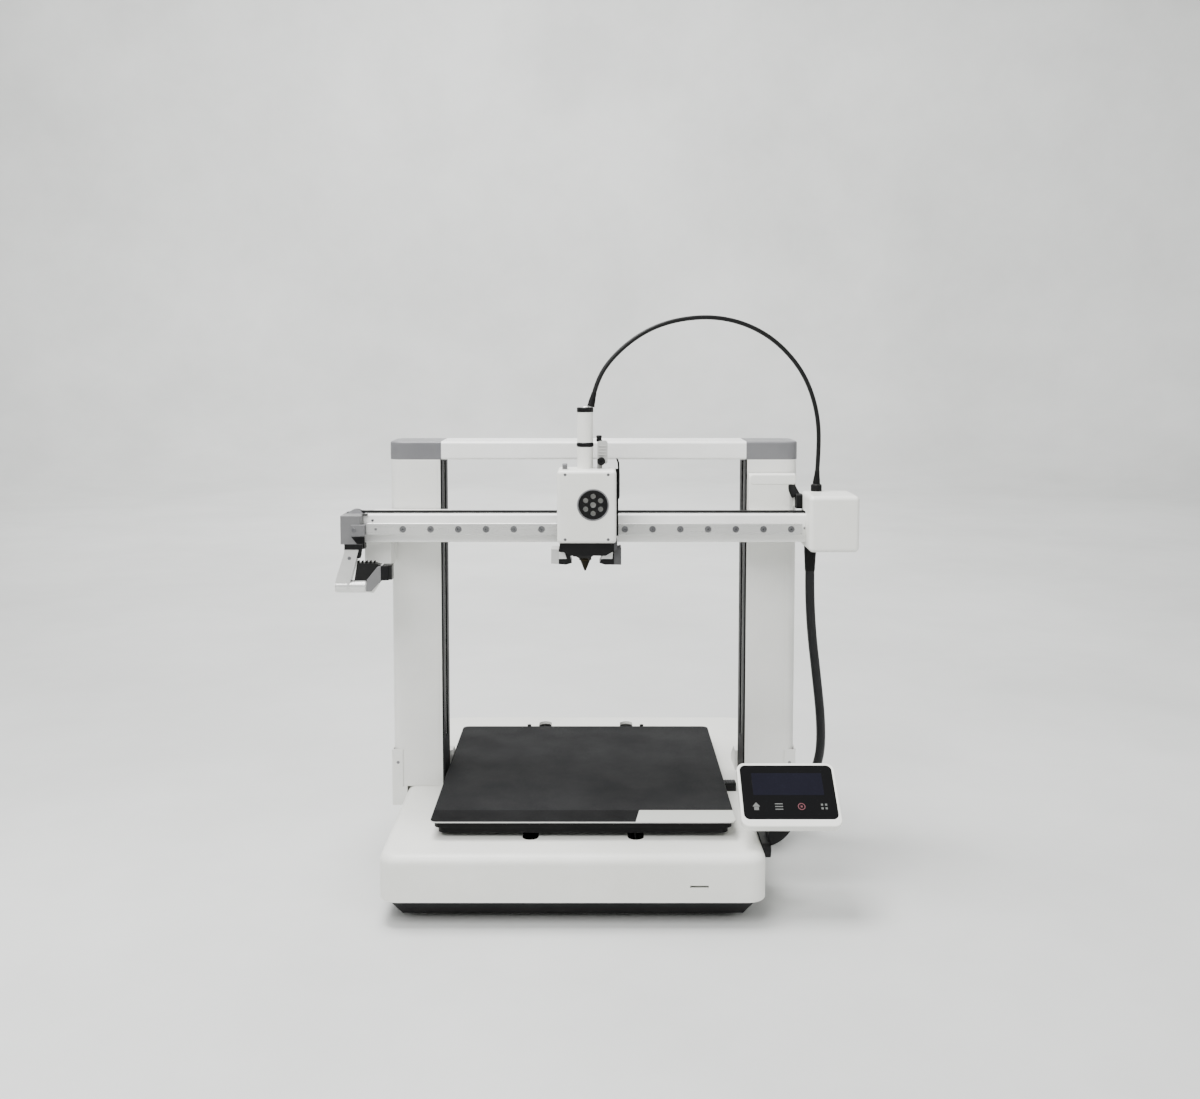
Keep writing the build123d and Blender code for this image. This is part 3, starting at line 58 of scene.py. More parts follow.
def setCamera(setup):
    data = bpy.data.cameras.new("mainCamera")
    data.sensor_fit = "HORIZONTAL"
    data.sensor_width = 36.0
    data.lens = setup["lens"]
    data.shift_x, data.shift_y = setup["shiftX"], setup["shiftY"]
    data.clip_start, data.clip_end = 0.01, 60.0
    camera = bpy.data.objects.new("mainCamera", data)
    scene.collection.objects.link(camera)
    camera.location = setup["place"]
    camera.rotation_euler = (math.radians(90 - setup["tiltDown"]), 0, 0)
    scene.camera = camera


setCamera(cameraSetup)
print("camera set")


# small builders that every piece uses

def addNode(tree, kind, values=None, **settings):  # values are numbers, or sockets to link from
    node = tree.nodes.new("ShaderNode" + kind)
    for key, value in settings.items():
        setattr(node, key, value)
    for key, value in (values or {}).items():
        if isinstance(value, bpy.types.NodeSocket):
            tree.links.new(value, node.inputs[key])
        else:
            node.inputs[key].default_value = value
    return node


def ownPlace(tree):  # places in the rest row, the same for every node
    return addNode(tree, "TexCoord").outputs["Object"]


def multiplyMasks(tree, a, b, clamp=False):
    return addNode(tree, "Math", {0: a, 1: b}, operation="MULTIPLY", use_clamp=clamp).outputs[0]


def mixColors(tree, mask, under, over):
    return addNode(tree, "Mix", {0: mask, 6: under, 7: over}, data_type="RGBA").outputs[2]


def tint(text):  # a screen colour such as "d8d8d0" as linear light
    parts = [int(text[i:i + 2], 16) / 255 for i in (0, 2, 4)]
    return tuple(p / 12.92 if p <= 0.04045 else ((p + 0.055) / 1.055) ** 2.4 for p in parts) + (1.0,)


def makePiece(name, fill, body, material, edge=0.0, sharp=35.0):
    bm = bmesh.new()
    fill(bm)
    bmesh.ops.recalc_face_normals(bm, faces=bm.faces)
    mesh = bpy.data.meshes.new(name)
    bm.to_mesh(mesh)
    bm.free()
    for polygon in mesh.polygons:
        polygon.use_smooth = True
    mesh.set_sharp_from_angle(angle=math.radians(sharp))
    mesh.materials.append(material)
    piece = bpy.data.objects.new(name, mesh)
    scene.collection.objects.link(piece)
    if edge:
        rounding = piece.modifiers.new("softEdge", "BEVEL")
        rounding.width = edge
        rounding.segments = 3
        rounding.limit_method = "ANGLE"
        rounding.angle_limit = math.radians(40)
        rounding.harden_normals = True
    if body:
        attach(piece, body)
    return piece


def turnTo(direction):
    return Vector((0, 0, 1)).rotation_difference(Vector(direction).normalized()).to_matrix().to_4x4()


def addLathe(bm, profile, place, direction=(0, 0, 1), sides=32, start=0.0):
    # profile is (radius, height) pairs in metres; radius 0 closes an end
    move = Matrix.Translation(Vector(place)) @ turnTo(direction)
    rings = []
    for radius, height in profile:
        if radius <= 0:
            rings.append([bm.verts.new(move @ Vector((0, 0, height)))])
            continue
        ring = []
        for i in range(sides):
            angle = start + 2 * math.pi * i / sides
            ring.append(bm.verts.new(move @ Vector((radius * math.cos(angle), radius * math.sin(angle),
                                                    height))))
        rings.append(ring)
    for low, high in zip(rings, rings[1:]):
        for i in range(sides):
            j = (i + 1) % sides
            if len(low) == 1:
                bm.faces.new((low[0], high[i], high[j]))
            elif len(high) == 1:
                bm.faces.new((low[i], low[j], high[0]))
            else:
                bm.faces.new((low[i], low[j], high[j], high[i]))


def addBlock(bm, low, high, move=None):
    low, high = Vector(low), Vector(high)
    made = bmesh.ops.create_cube(bm, size=1.0)["verts"]
    for vert in made:
        vert.co = Vector((low[k] + (vert.co[k] + 0.5) * (high[k] - low[k]) for k in range(3)))
        if move is not None:
            vert.co = move @ vert.co


def addPrism(bm, outline, low, high, axis=1, move=None):
    # an outline in the two other axes, carried along one axis from low to high
    def lift(a, b, along):
        place = [a, b]
        place.insert(axis, along)
        return Vector(place) if move is None else move @ Vector(place)
    ends = [[bm.verts.new(lift(a, b, along)) for a, b in outline] for along in (low, high)]
    bm.faces.new(ends[0])
    bm.faces.new(list(reversed(ends[1])))
    count = len(outline)
    for i in range(count):
        j = (i + 1) % count
        bm.faces.new((ends[0][i], ends[1][i], ends[1][j], ends[0][j]))


def inMm(points, x=0.0, y=0.0):  # points given in millimetres from a corner
    return [(x + a * mm, y + b * mm) for a, b in points]


def roundedOutline(x0, x1, y0, y1, radius, steps=6):
    points = []
    corners = (((x1 - radius, y1 - radius), 0), ((x0 + radius, y1 - radius), 90),
               ((x0 + radius, y0 + radius), 180), ((x1 - radius, y0 + radius), 270))
    for (cx, cy), begin in corners:
        for i in range(steps + 1):
            angle = math.radians(begin + 90 * i / steps)
            points.append((cx + radius * math.cos(angle), cy + radius * math.sin(angle)))
    return points


def joinOutlines(bm, rings):  # a closed sweep through outlines of the same number of points
    for ring, after in zip(rings, rings[1:] + rings[:1]):
        for i in range(len(ring)):
            j = (i + 1) % len(ring)
            bm.faces.new((ring[i], ring[j], after[j], after[i]))


def addScrew(bm, place, direction, radius=0.0022, proud=0.0008, socket=0.0011):
    depth = 0.9 * proud
    addLathe(bm, [
        (0, proud - depth), (socket, proud - depth), (socket, proud), (radius - 0.25 * proud, proud),
        (radius, 0.7 * proud), (radius, -0.3 * proud), (0, -0.3 * proud),
    ], place, direction, sides=24)


# shared surface effects

def makeGroup(name, inputs, outputs):
    group = bpy.data.node_groups.new(name, "ShaderNodeTree")
    for label, kind, value in inputs:
        socket = group.interface.new_socket(name=label, in_out="INPUT", socket_type=kind)
        socket.default_value = value
    for label, kind in outputs:
        group.interface.new_socket(name=label, in_out="OUTPUT", socket_type=kind)
    return group, group.nodes.new("NodeGroupInput").outputs, group.nodes.new("NodeGroupOutput").inputs


def edgeWearEffect():
    group, given, out = makeGroup(
        "edgeWear",
        [("Color", "NodeSocketColor", (0.5, 0.5, 0.5, 1)),
         ("Worn Color", "NodeSocketColor", (0.8, 0.8, 0.8, 1)),
         ("Width", "NodeSocketFloat", 0.0006), ("Amount", "NodeSocketFloat", 0.3)],
        [("Color", "NodeSocketColor")])
    rounded = addNode(group, "Bevel", {"Radius": given["Width"]}, samples=4)
    flat = addNode(group, "NewGeometry")
    facing = addNode(group, "VectorMath", {0: rounded.outputs[0], 1: flat.outputs["Normal"]},
                     operation="DOT_PRODUCT")
    turned = addNode(group, "MapRange", {
        "Value": facing.outputs["Value"], "From Min": 0.995, "From Max": 0.8, "To Min": 0.0, "To Max": 1.0})
    place = ownPlace(group)
    patches = addNode(group, "TexNoise", {"Vector": place, "Scale": 160.0, "Detail": 4.0})
    broken = addNode(group, "MapRange", {
        "Value": patches.outputs["Fac"], "From Min": 0.35, "From Max": 0.68, "To Min": 0.15, "To Max": 1.0})
    spread = multiplyMasks(group, turned.outputs[0], broken.outputs[0])
    mask = multiplyMasks(group, spread, given["Amount"], clamp=True)
    group.links.new(mixColors(group, mask, given["Color"], given["Worn Color"]), out["Color"])
    return group


def fineGrainEffect():
    group, given, out = makeGroup(
        "fineGrain",
        [("Scale", "NodeSocketFloat", 2500.0), ("Stretch", "NodeSocketVector", (1, 1, 1)),
         ("Smoothest", "NodeSocketFloat", 0.35), ("Roughest", "NodeSocketFloat", 0.5)],
        [("Height", "NodeSocketFloat"), ("Roughness", "NodeSocketFloat")])
    place = ownPlace(group)
    pulled = addNode(group, "VectorMath", {0: place, 1: given["Stretch"]},
                     operation="MULTIPLY")
    grain = addNode(group, "TexNoise", {"Vector": pulled.outputs[0], "Scale": given["Scale"], "Detail": 3.0,
                                                  "Roughness": 0.6})
    wipe = addNode(group, "TexNoise", {"Vector": pulled.outputs[0], "Scale": 22.0, "Detail": 5.0})
    both = addNode(group, "Math", {0: grain.outputs["Fac"], 1: wipe.outputs["Fac"]}, operation="ADD")
    rough = addNode(group, "MapRange", {
        "Value": both.outputs[0], "From Min": 0.7, "From Max": 1.3,
        "To Min": given["Smoothest"], "To Max": given["Roughest"]})
    group.links.new(grain.outputs["Fac"], out["Height"])
    group.links.new(rough.outputs[0], out["Roughness"])
    return group


def toneDriftEffect():
    group, given, out = makeGroup(
        "toneDrift",
        [("Light", "NodeSocketColor", (0.8, 0.8, 0.8, 1)), ("Deep", "NodeSocketColor", (0.7, 0.7, 0.7, 1)),
         ("Scale", "NodeSocketFloat", 12.0)],
        [("Color", "NodeSocketColor")])
    place = ownPlace(group)
    clouds = addNode(group, "TexNoise", {"Vector": place, "Scale": given["Scale"],
                                                   "Detail": 6.0, "Roughness": 0.65})
    spread = addNode(group, "MapRange", {"Value": clouds.outputs["Fac"], "From Min": 0.35, "From Max": 0.65})
    group.links.new(mixColors(group, spread.outputs[0], given["Light"], given["Deep"]), out["Color"])
    return group


def settledDustEffect():
    group, given, out = makeGroup(
        "settledDust",
        [("Color", "NodeSocketColor", (0.5, 0.5, 0.5, 1)),
         ("Dust Color", "NodeSocketColor", (0.6, 0.59, 0.56, 1)),
         ("Amount", "NodeSocketFloat", 0.1)],
        [("Color", "NodeSocketColor")])
    face = addNode(group, "NewGeometry")
    split = addNode(group, "SeparateXYZ", {0: face.outputs["Normal"]})
    upward = addNode(group, "MapRange", {"Value": split.outputs["Z"], "From Min": 0.4, "From Max": 1.0})
    place = ownPlace(group)
    specks = addNode(group, "TexNoise", {"Vector": place, "Scale": 420.0, "Detail": 5.0,
                                                   "Roughness": 0.75})
    thin = addNode(group, "MapRange", {"Value": specks.outputs["Fac"], "From Min": 0.45, "From Max": 0.75})
    lying = multiplyMasks(group, upward.outputs[0], thin.outputs[0])
    mask = multiplyMasks(group, lying, given["Amount"], clamp=True)
    group.links.new(mixColors(group, mask, given["Color"], given["Dust Color"]), out["Color"])
    return group


effects = {"edgeWear": edgeWearEffect(), "fineGrain": fineGrainEffect(), "toneDrift": toneDriftEffect(),
           "settledDust": settledDustEffect()}


def addEffect(tree, name, values):
    return addNode(tree, "Group", values, node_tree=effects[name])


# light and deep are the two tones of a finish, worn the tone of its rubbed edges; rough is its smoothest and
# roughest patch, grain the scale of its texture, bump the texture's strength and height
def recipe(light, deep, worn, rough, grain, bump, wear, dust, **others):
    return {"light": light, "deep": deep, "worn": worn, "rough": rough, "grain": grain, "bump": bump,
            "wear": wear, "dust": dust, "metal": 0.0, "shine": 0.5, "stretch": (1, 1, 1), "drift": 14.0,
            **others}


finishes = {
    "shellPlastic": recipe("e9e9e4", "e2e2dc", "f4f4f0", (0.36, 0.5), 2400.0, (0.1, 0.00008), 0.25, 0.1),
    "coverPlastic": recipe("ebebe6", "e4e4de", "f5f5f1", (0.28, 0.4), 3000.0, (0.07, 0.00006), 0.2, 0.08),
    "powderCoat": recipe("e6e6e2", "dfdfdb", "f2f2ee", (0.32, 0.46), 1100.0, (0.14, 0.00012), 0.3, 0.1),
    "beamPaint": recipe("f5f5f3", "eeeeeb", "fafaf8", (0.22, 0.34), 1400.0, (0.06, 0.00008), 0.3, 0.08),
    "capPlastic": recipe("727274", "67676a", "bcbcbe", (0.3, 0.44), 2200.0, (0.1, 0.00008), 0.4, 0.12),
    "blockPlastic": recipe("747475", "686869", "b4b4b5", (0.34, 0.48), 2000.0, (0.12, 0.00008), 0.4, 0.12),
    "trayPlastic": recipe("0d0d0e", "080809", "262628", (0.42, 0.6), 1800.0, (0.25, 0.0001), 0.35,
                          0.05, shine=0.22),
    "blackPlastic": recipe("0c0c0d", "070708", "2a2a2d", (0.34, 0.5), 2200.0, (0.16, 0.00008), 0.4,
                           0.05, shine=0.22),
    "stripPlastic": recipe("121213", "0c0c0d", "2a2a2c", (0.5, 0.65), 1600.0, (0.2, 0.0001), 0.25,
                           0.05, shine=0.22),
    "footRubber": recipe("0d0d0d", "070707", "2a2a2a", (0.75, 0.92), 1300.0, (0.35, 0.00016), 0.5, 0.2,
                         shine=0.22),
    "beltRubber": recipe("0d0d0d", "070707", "2a2a2a", (0.6, 0.8), 1500.0, (0.3, 0.0001), 0.4, 0.15,
                         shine=0.22),
    "fanPlastic": recipe("b9b9b6", "aaaaa7", "d6d6d4", (0.36, 0.5), 2200.0, (0.1, 0.00006), 0.3, 0.1),
    "groundSteel": recipe("c9c9cb", "b4b4b8", "e4e4e6", (0.14, 0.26), 900.0, (0.12, 0.00004), 0.3,
                          0.05, stretch=(6, 1, 6), metal=1.0),
    "screwSteel": recipe("8c8c8e", "6e6e71", "c4c4c6", (0.22, 0.4), 1200.0, (0.2, 0.00005), 0.6, 0.1,
                         metal=1.0),
    "leadSteel": recipe("77777a", "5e5e62", "b0b0b4", (0.22, 0.38), 900.0, (0.2, 0.00006), 0.5, 0.05,
                        stretch=(1, 1, 5), metal=1.0),
    "railSteel": recipe("d9d9d6", "cacac8", "f0f0ee", (0.24, 0.36), 700.0, (0.08, 0.00004), 0.5, 0.06,
                        stretch=(1, 14, 14), metal=0.6),
    "aluminium": recipe("cfcfd1", "bebec1", "eaeaec", (0.25, 0.4), 900.0, (0.12, 0.00005), 0.5, 0.06,
                        metal=1.0),
    "castSilver": recipe("dcdcda", "cdcdcb", "f2f2f0", (0.26, 0.4), 1500.0, (0.16, 0.00007), 0.5, 0.08,
                         metal=0.5),
    "motorMetal": recipe("2c2c2f", "1e1e21", "7c7c80", (0.3, 0.46), 1200.0, (0.15, 0.00006), 0.6, 0.1,
                         metal=1.0),
    "supplySteel": recipe("a9aba9", "8f9290", "cfd0cf", (0.26, 0.44), 260.0, (0.08, 0.00005), 0.5,
                          0.12, metal=1.0),
    "heaterMetal": recipe("7d6a5a", "5b4a3e", "b09a86", (0.3, 0.5), 1300.0, (0.2, 0.00008), 0.6, 0.05,
                          metal=1.0),
    "nozzleBrass": recipe("2b271f", "181612", "6b5d3e", (0.24, 0.44), 1500.0, (0.15, 0.00005), 0.7,
                          0.02, metal=1.0),
    "bedPan": recipe("0a0a0b", "060607", "333337", (0.4, 0.56), 900.0, (0.2, 0.0001), 0.5, 0.05,
                     metal=0.4, shine=0.22),
    "cableSheath": recipe("0f0f10", "090909", "262628", (0.36, 0.5), 1800.0, (0.16, 0.00006), 0.2,
                          0.06, shine=0.22),
    "redPlastic": recipe("8e1f1a", "761713", "b3544e", (0.3, 0.42), 2200.0, (0.1, 0.00006), 0.3, 0.08),
    "heaterSock": recipe("12100f", "0b0a09", "2c2826", (0.6, 0.8), 1500.0, (0.3, 0.0001), 0.3, 0.05),
    "fanPale": recipe("e4e4e0", "d8d8d4", "f0f0ec", (0.4, 0.55), 2000.0, (0.1, 0.00006), 0.2, 0.0),
    "whiteInk": recipe("5e605e", "525452", "767876", (0.4, 0.5), 2400.0, (0.05, 0.00003), 0.1, 0.0),
    "redInk": recipe("6a3038", "5c2a31", "7e4a50", (0.4, 0.5), 2400.0, (0.05, 0.00003), 0.1, 0.0),
}


def makeFinish(name, given):
    material = bpy.data.materials.new(name)
    material.use_nodes = True
    tree = material.node_tree
    shader = tree.nodes["Principled BSDF"]
    shader.inputs["Metallic"].default_value = given["metal"]
    shader.inputs["Specular IOR Level"].default_value = given["shine"]
    tone = addEffect(tree, "toneDrift", {"Light": tint(given["light"]), "Deep": tint(given["deep"]),
                                         "Scale": given["drift"]})
    wear = addEffect(tree, "edgeWear", {"Color": tone.outputs[0], "Worn Color": tint(given["worn"]),
                                        "Width": wornWidth, "Amount": given["wear"]})
    dust = addEffect(tree, "settledDust", {"Color": wear.outputs["Color"], "Amount": given["dust"]})
    grain = addEffect(tree, "fineGrain", {"Scale": given["grain"], "Stretch": given["stretch"],
                                          "Smoothest": given["rough"][0], "Roughest": given["rough"][1]})
    bump = addNode(tree, "Bump", {"Strength": given["bump"][0], "Distance": given["bump"][1],
                                  "Height": grain.outputs["Height"]})
    tree.links.new(dust.outputs[0], shader.inputs["Base Color"])
    tree.links.new(grain.outputs["Roughness"], shader.inputs["Roughness"])
    tree.links.new(bump.outputs[0], shader.inputs["Normal"])
    return material


wornWidth = 0.0006  # how far the rubbing reaches from an edge
looks = {name: makeFinish(name, recipe) for name, recipe in finishes.items()}


def insertMix(material, mask, color):  # lays a second colour over a finish where the mask is 1
    tree = material.node_tree
    target = tree.nodes["Principled BSDF"].inputs["Base Color"]
    tree.links.new(mixColors(tree, mask, target.links[0].from_socket, color), target)


def axisBand(tree, axis, low, high, soft=0.0002):
    # 1 where the row frame's coordinate lies between low and high
    place = ownPlace(tree)
    split = addNode(tree, "SeparateXYZ", {0: place})
    along = split.outputs[axis]
    above = addNode(tree, "MapRange", {"Value": along, "From Min": low - soft, "From Max": low})
    below = addNode(tree, "MapRange", {"Value": along, "From Min": high, "From Max": high + soft,
                                       "To Min": 1.0, "To Max": 0.0})
    return multiplyMasks(tree, above.outputs[0], below.outputs[0])


buildPlateLook = {"tone": "222223", "deep": "1d1d1e", "fleck": "3a3a3b", "frontBand": 0.026,
                  "divideFront": 0.0355,
                  "divideBack": 0.0395, "darkPart": "101011", "palePart": "c4c6c0", "edge": "cfcfcc"}


def makePlateCoating(look):
    low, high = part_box("build_plate")
    material = makeFinish("plateCoating", recipe(look["tone"], look["deep"], look["edge"], (0.5, 0.72),
                                                 1500.0,
                                                 (0.5, 0.00018), 0.35, 0.0, shine=0.06))
    tree = material.node_tree
    place = ownPlace(tree)
    flecks = addNode(tree, "TexNoise", {"Vector": place, "Scale": 1900.0, "Detail": 2.0})
    bright = addNode(tree, "MapRange", {"Value": flecks.outputs["Fac"], "From Min": 0.6, "From Max": 0.75,
                                                  "To Max": 0.5})
    insertMix(material, bright.outputs[0], tint(look["fleck"]))
    band = axisBand(tree, "Y", low.y - 0.001, low.y + look["frontBand"])
    insertMix(material, band, tint(look["darkPart"]))
    split = addNode(tree, "SeparateXYZ", {0: place})
    slope = (look["divideBack"] - look["divideFront"]) / look["frontBand"]
    lean = addNode(tree, "Math", {0: split.outputs["Y"], 1: -slope, 2: split.outputs["X"]},
                   operation="MULTIPLY_ADD")
    line = look["divideFront"] - slope * low.y
    right = addNode(tree, "MapRange", {"Value": lean.outputs[0], "From Min": line, "From Max": line + 0.0003})
    insertMix(material, multiplyMasks(tree, band, right.outputs[0]), tint(look["palePart"]))
    face = addNode(tree, "NewGeometry")
    upright = addNode(tree, "SeparateXYZ", {0: face.outputs["Normal"]})
    edge = addNode(tree, "MapRange", {"Value": upright.outputs["Z"], "From Min": 0.6, "From Max": 0.3})
    insertMix(material, edge.outputs[0], tint(look["edge"]))
    return material


def makeBoardLook():
    low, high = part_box("mainboard")
    material = makeFinish("boardLacquer", recipe("1f5b3c", "184a31", "5b8a70", (0.26, 0.4), 1800.0,
                                                 (0.1, 0.00006), 0.3, 0.1))
    tree = material.node_tree
    place = ownPlace(tree)
    tracks = addNode(tree, "TexBrick", {
        "Vector": place, "Scale": 160.0, "Mortar Size": 0.05, "Color1": (0, 0, 0, 1),
        "Color2": (0, 0, 0, 1), "Mortar": (1, 1, 1, 1)})
    insertMix(material, tracks.outputs["Color"], tint("3f8a62"))
    insertMix(material, axisBand(tree, "Z", low.z + 0.0018, high.z + 0.001), tint("1c1c1e"))
    return material


def makeGlassLook():
    material = makeFinish("screenGlass", recipe("030304", "020203", "0c0c0e", (0.08, 0.16), 300.0,
                                                (0.01, 0.00002), 0.2, 0.0, shine=0.2))
    shader = material.node_tree.nodes["Principled BSDF"]
    shader.inputs["Coat Weight"].default_value = 0.2
    shader.inputs["Coat Roughness"].default_value = 0.06
    return material


def makeDisplayLook():
    material = makeFinish("displayPane", recipe("0c0c14", "090910", "0c0c14", (0.08, 0.16), 300.0,
                                                (0.01, 0.00002), 0.0, 0.0, shine=0.2))
    tree = material.node_tree
    place = ownPlace(tree)
    cells = addNode(tree, "TexBrick", {
        "Vector": place, "Scale": 900.0, "Mortar Size": 0.06, "Color1": tint("2f2f44"),
        "Color2": tint("2a2a3c"), "Mortar": tint("1d1d2a")})
    shader = tree.nodes["Principled BSDF"]
    tree.links.new(cells.outputs["Color"], shader.inputs["Emission Color"])
    shader.inputs["Emission Strength"].default_value = 0.35
    return material


def makeWiperLook():
    material = makeFinish("wiperSilver", finishes["castSilver"])
    tree = material.node_tree
    low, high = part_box("wiper_arm")
    pad = axisBand(tree, "X", low.x + 0.0115, low.x + 0.0365)
    upper = axisBand(tree, "Z", low.z + 0.0097, high.z + 0.001)
    insertMix(material, multiplyMasks(tree, pad, upper), tint("131313"))
    insertMix(material, axisBand(tree, "X", high.x - 0.0085, high.x + 0.001), tint("161616"))
    return material


def makeDuctLook():
    material = makeFinish("ductPlastic", finishes["blackPlastic"])
    tree = material.node_tree
    low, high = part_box("cooling_duct")
    insertMix(material, axisBand(tree, "X", low.x - 0.001, low.x + 0.0065), tint("b4b4b2"))
    insertMix(material, axisBand(tree, "X", high.x - 0.0062, high.x + 0.001), tint("4a4a4b"))
    return material


looks["plateCoating"] = makePlateCoating(buildPlateLook)
looks["boardLacquer"] = makeBoardLook()
looks["screenGlass"] = makeGlassLook()
looks["displayPane"] = makeDisplayLook()
looks["wiperSilver"] = makeWiperLook()
looks["ductPlastic"] = makeDuctLook()
looks["inletPlastic"] = makeFinish("inletPlastic", finishes["blackPlastic"])

nodesWith = {
    "shellPlastic": ["base_shell"],
    "trayPlastic": ["base_tray", "toolhead_frame"],
    "footRubber": ["rubber_feet", "cable_boots"],
    "supplySteel": ["power_supply"],
    "blackPlastic": ["power_supply_fan", "bed_carriage", "x_carriage", "fan_grille", "blower_rotor",
                     "inlet_fitting", "screen_bracket"],
    "boardLacquer": ["mainboard"],
    "inletPlastic": ["power_inlet"],
    "redPlastic": ["rocker_switch"],
    "groundSteel": ["guide_rods"],
    "motorMetal": ["base_motors", "x_motor", "extruder_motor"],
    "beltRubber": ["y_belt", "x_belt"],
    "aluminium": ["y_drive_pulley", "y_idler_pulley", "x_idler_pulley", "x_drive_pulley", "heatsink"],
    "powderCoat": ["z_posts", "side_brackets", "left_z_carriage"],
    "stripPlastic": ["post_inner_strips"],
    "leadSteel": ["left_lead_screw", "right_lead_screw", "drive_gear", "idler_gear"],
    "beamPaint": ["top_beam", "x_beam"],
    "capPlastic": ["beam_end_caps"],
    "bedPan": ["bed_frame", "heater_plate"],
    "plateCoating": ["build_plate"],
    "railSteel": ["x_rail"],
    "screwSteel": ["rail_screws", "cover_screws"],
    "coverPlastic": ["right_z_carriage", "x_end_box", "front_cover", "filament_guide", "screen_housing"],
    "blockPlastic": ["left_end_block"],
    "castSilver": ["purge_bracket"],
    "wiperSilver": ["wiper_arm"],
    "fanPlastic": ["hotend_fan", "tension_lever"],
    "heaterMetal": ["heater_block"],
    "nozzleBrass": ["nozzle"],
    "ductPlastic": ["cooling_duct"],
    "screenGlass": ["screen_glass"],
    "cableSheath": ["toolhead_cable", "harness_cable"],
}
for look, names in nodesWith.items():
    for nodeName in names:
        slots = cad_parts[nodeName].data.materials
        slots.clear()
        slots.append(looks[look])
print("finishes made:", len(looks))


# the two cables, along the same points as their solids

toolheadCable = {
    "points": [
        (-0.0025, -0.1020, 0.4266), (0.0018, -0.0990, 0.4466), (0.0139, -0.0954, 0.4671),
        (0.0370, -0.0910, 0.4878),
        (0.0630, -0.0870, 0.5004), (0.0936, -0.0824, 0.5056), (0.1195, -0.0787, 0.5039),
        (0.1432, -0.0752, 0.4964),
        (0.1643, -0.0718, 0.4836), (0.1836, -0.0678, 0.4640), (0.1960, -0.0647, 0.4428),
        (0.2042, -0.0608, 0.4165),
        (0.2066, -0.0565, 0.3880), (0.2052, -0.0520, 0.3537)],
    "diameter": 0.004, "length": 0.355, "sides": 16, "reliefLength": 0.012, "reliefRadius": 0.0034,
}
harness = {
    "points": [
        (0.2000, -0.0540, 0.2955), (0.1996, -0.0535, 0.2620), (0.2020, -0.0525, 0.2180),
        (0.2080, -0.0505, 0.1720),
        (0.2135, -0.0460, 0.1300), (0.2160, -0.0340, 0.0940), (0.2130, -0.0140, 0.0660),
        (0.2010, 0.0080, 0.0490),
        (0.1880, 0.0240, 0.0435), (0.1765, 0.0310, 0.0430)],
    "diameter": 0.0086, "length": 0.303, "sides": 24, "bootLength": 0.02, "bootRadius": 0.0058,
    "grommetRadius": 0.0088,
}


def routeLine(name, points, resolution=20):
    curve = bpy.data.curves.new(name, "CURVE")
    curve.dimensions = "3D"
    curve.resolution_u = resolution
    spline = curve.splines.new("NURBS")
    spline.points.add(len(points) - 1)
    for control, place in zip(spline.points, points):
        control.co = (*place, 1.0)
    spline.order_u = 3
    spline.use_endpoint_u = True
    holder = bpy.data.objects.new(name, curve)
    scene.collection.objects.link(holder)
    bpy.context.view_layer.update()
    drawn = bpy.data.meshes.new_from_object(holder)
    line = [vert.co.copy() for vert in drawn.vertices]
    bpy.data.objects.remove(holder)
    bpy.data.curves.remove(curve)
    bpy.data.meshes.remove(drawn)
    return line


def alongLine(line):
    # a place, a direction and two side directions for each point of a line
    side = None
    reached = 0.0
    for i, here in enumerate(line):
        ahead = (line[min(i + 1, len(line) - 1)] - line[max(i - 1, 0)]).normalized()
        if side is None:
            side = ahead.cross(Vector((0, 1, 0.2))).normalized()
        side = (side - ahead * side.dot(ahead)).normalized()
        if i:
            reached += (here - line[i - 1]).length
        yield here, ahead, side, ahead.cross(side), reached


def addTube(bm, line, radiusAt, sides, width=1.0):
    rings = []
    for here, ahead, side, across, reached in alongLine(line):
        radius = radiusAt(reached)
        rings.append([bm.verts.new(here + (side * math.cos(a) * width + across * math.sin(a)) * radius)
                      for a in (2 * math.pi * k / sides for k in range(sides))])
    for low, high in zip(rings, rings[1:]):
        for k in range(sides):
            j = (k + 1) % sides
            bm.faces.new((low[k], low[j], high[j], high[k]))
    bm.faces.new(list(reversed(rings[0])))
    bm.faces.new(rings[-1])


def taperRings(line, length, thick, thin, fromEnd=False):
    # the first (or last) stretch of a line, and the radius of a ribbed strain relief along it
    ordered = list(reversed(line)) if fromEnd else line
    kept, reached = [ordered[0]], 0.0
    for before, here in zip(ordered, ordered[1:]):
        reached += (here - before).length
        kept.append(here)
        if reached > length:
            break
    total = reached

    def radiusAt(s):
        share = min(1.0, s / total)
        rib = 0.07 * math.sin(share * 5 * 2 * math.pi) if 0.12 < share < 0.9 else 0.0
        return thin + (thick - thin) * (1 - share) ** 1.1 + rib * (thick - thin)
    return kept, radiusAt


def makeToolheadCable(spec):
    line = routeLine("toolheadCableRoute", spec["points"])
    radius = spec["diameter"] / 2
    cable = makePiece("toolheadCable", lambda bm: addTube(bm, line, lambda s: radius, spec["sides"]), None,
                      looks["cableSheath"], sharp=60)
    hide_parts("toolhead_cable")
    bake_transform(cable)
    for name, body, fromEnd in (("inletRelief", "toolhead", False), ("glandRelief", "gantry", True)):
        part, radiusAt = taperRings(line, spec["reliefLength"], spec["reliefRadius"], radius + 0.0002,
                                    fromEnd)
        makePiece(name, lambda bm: addTube(bm, part, radiusAt, 24), body, looks["footRubber"],
                                 sharp=60)


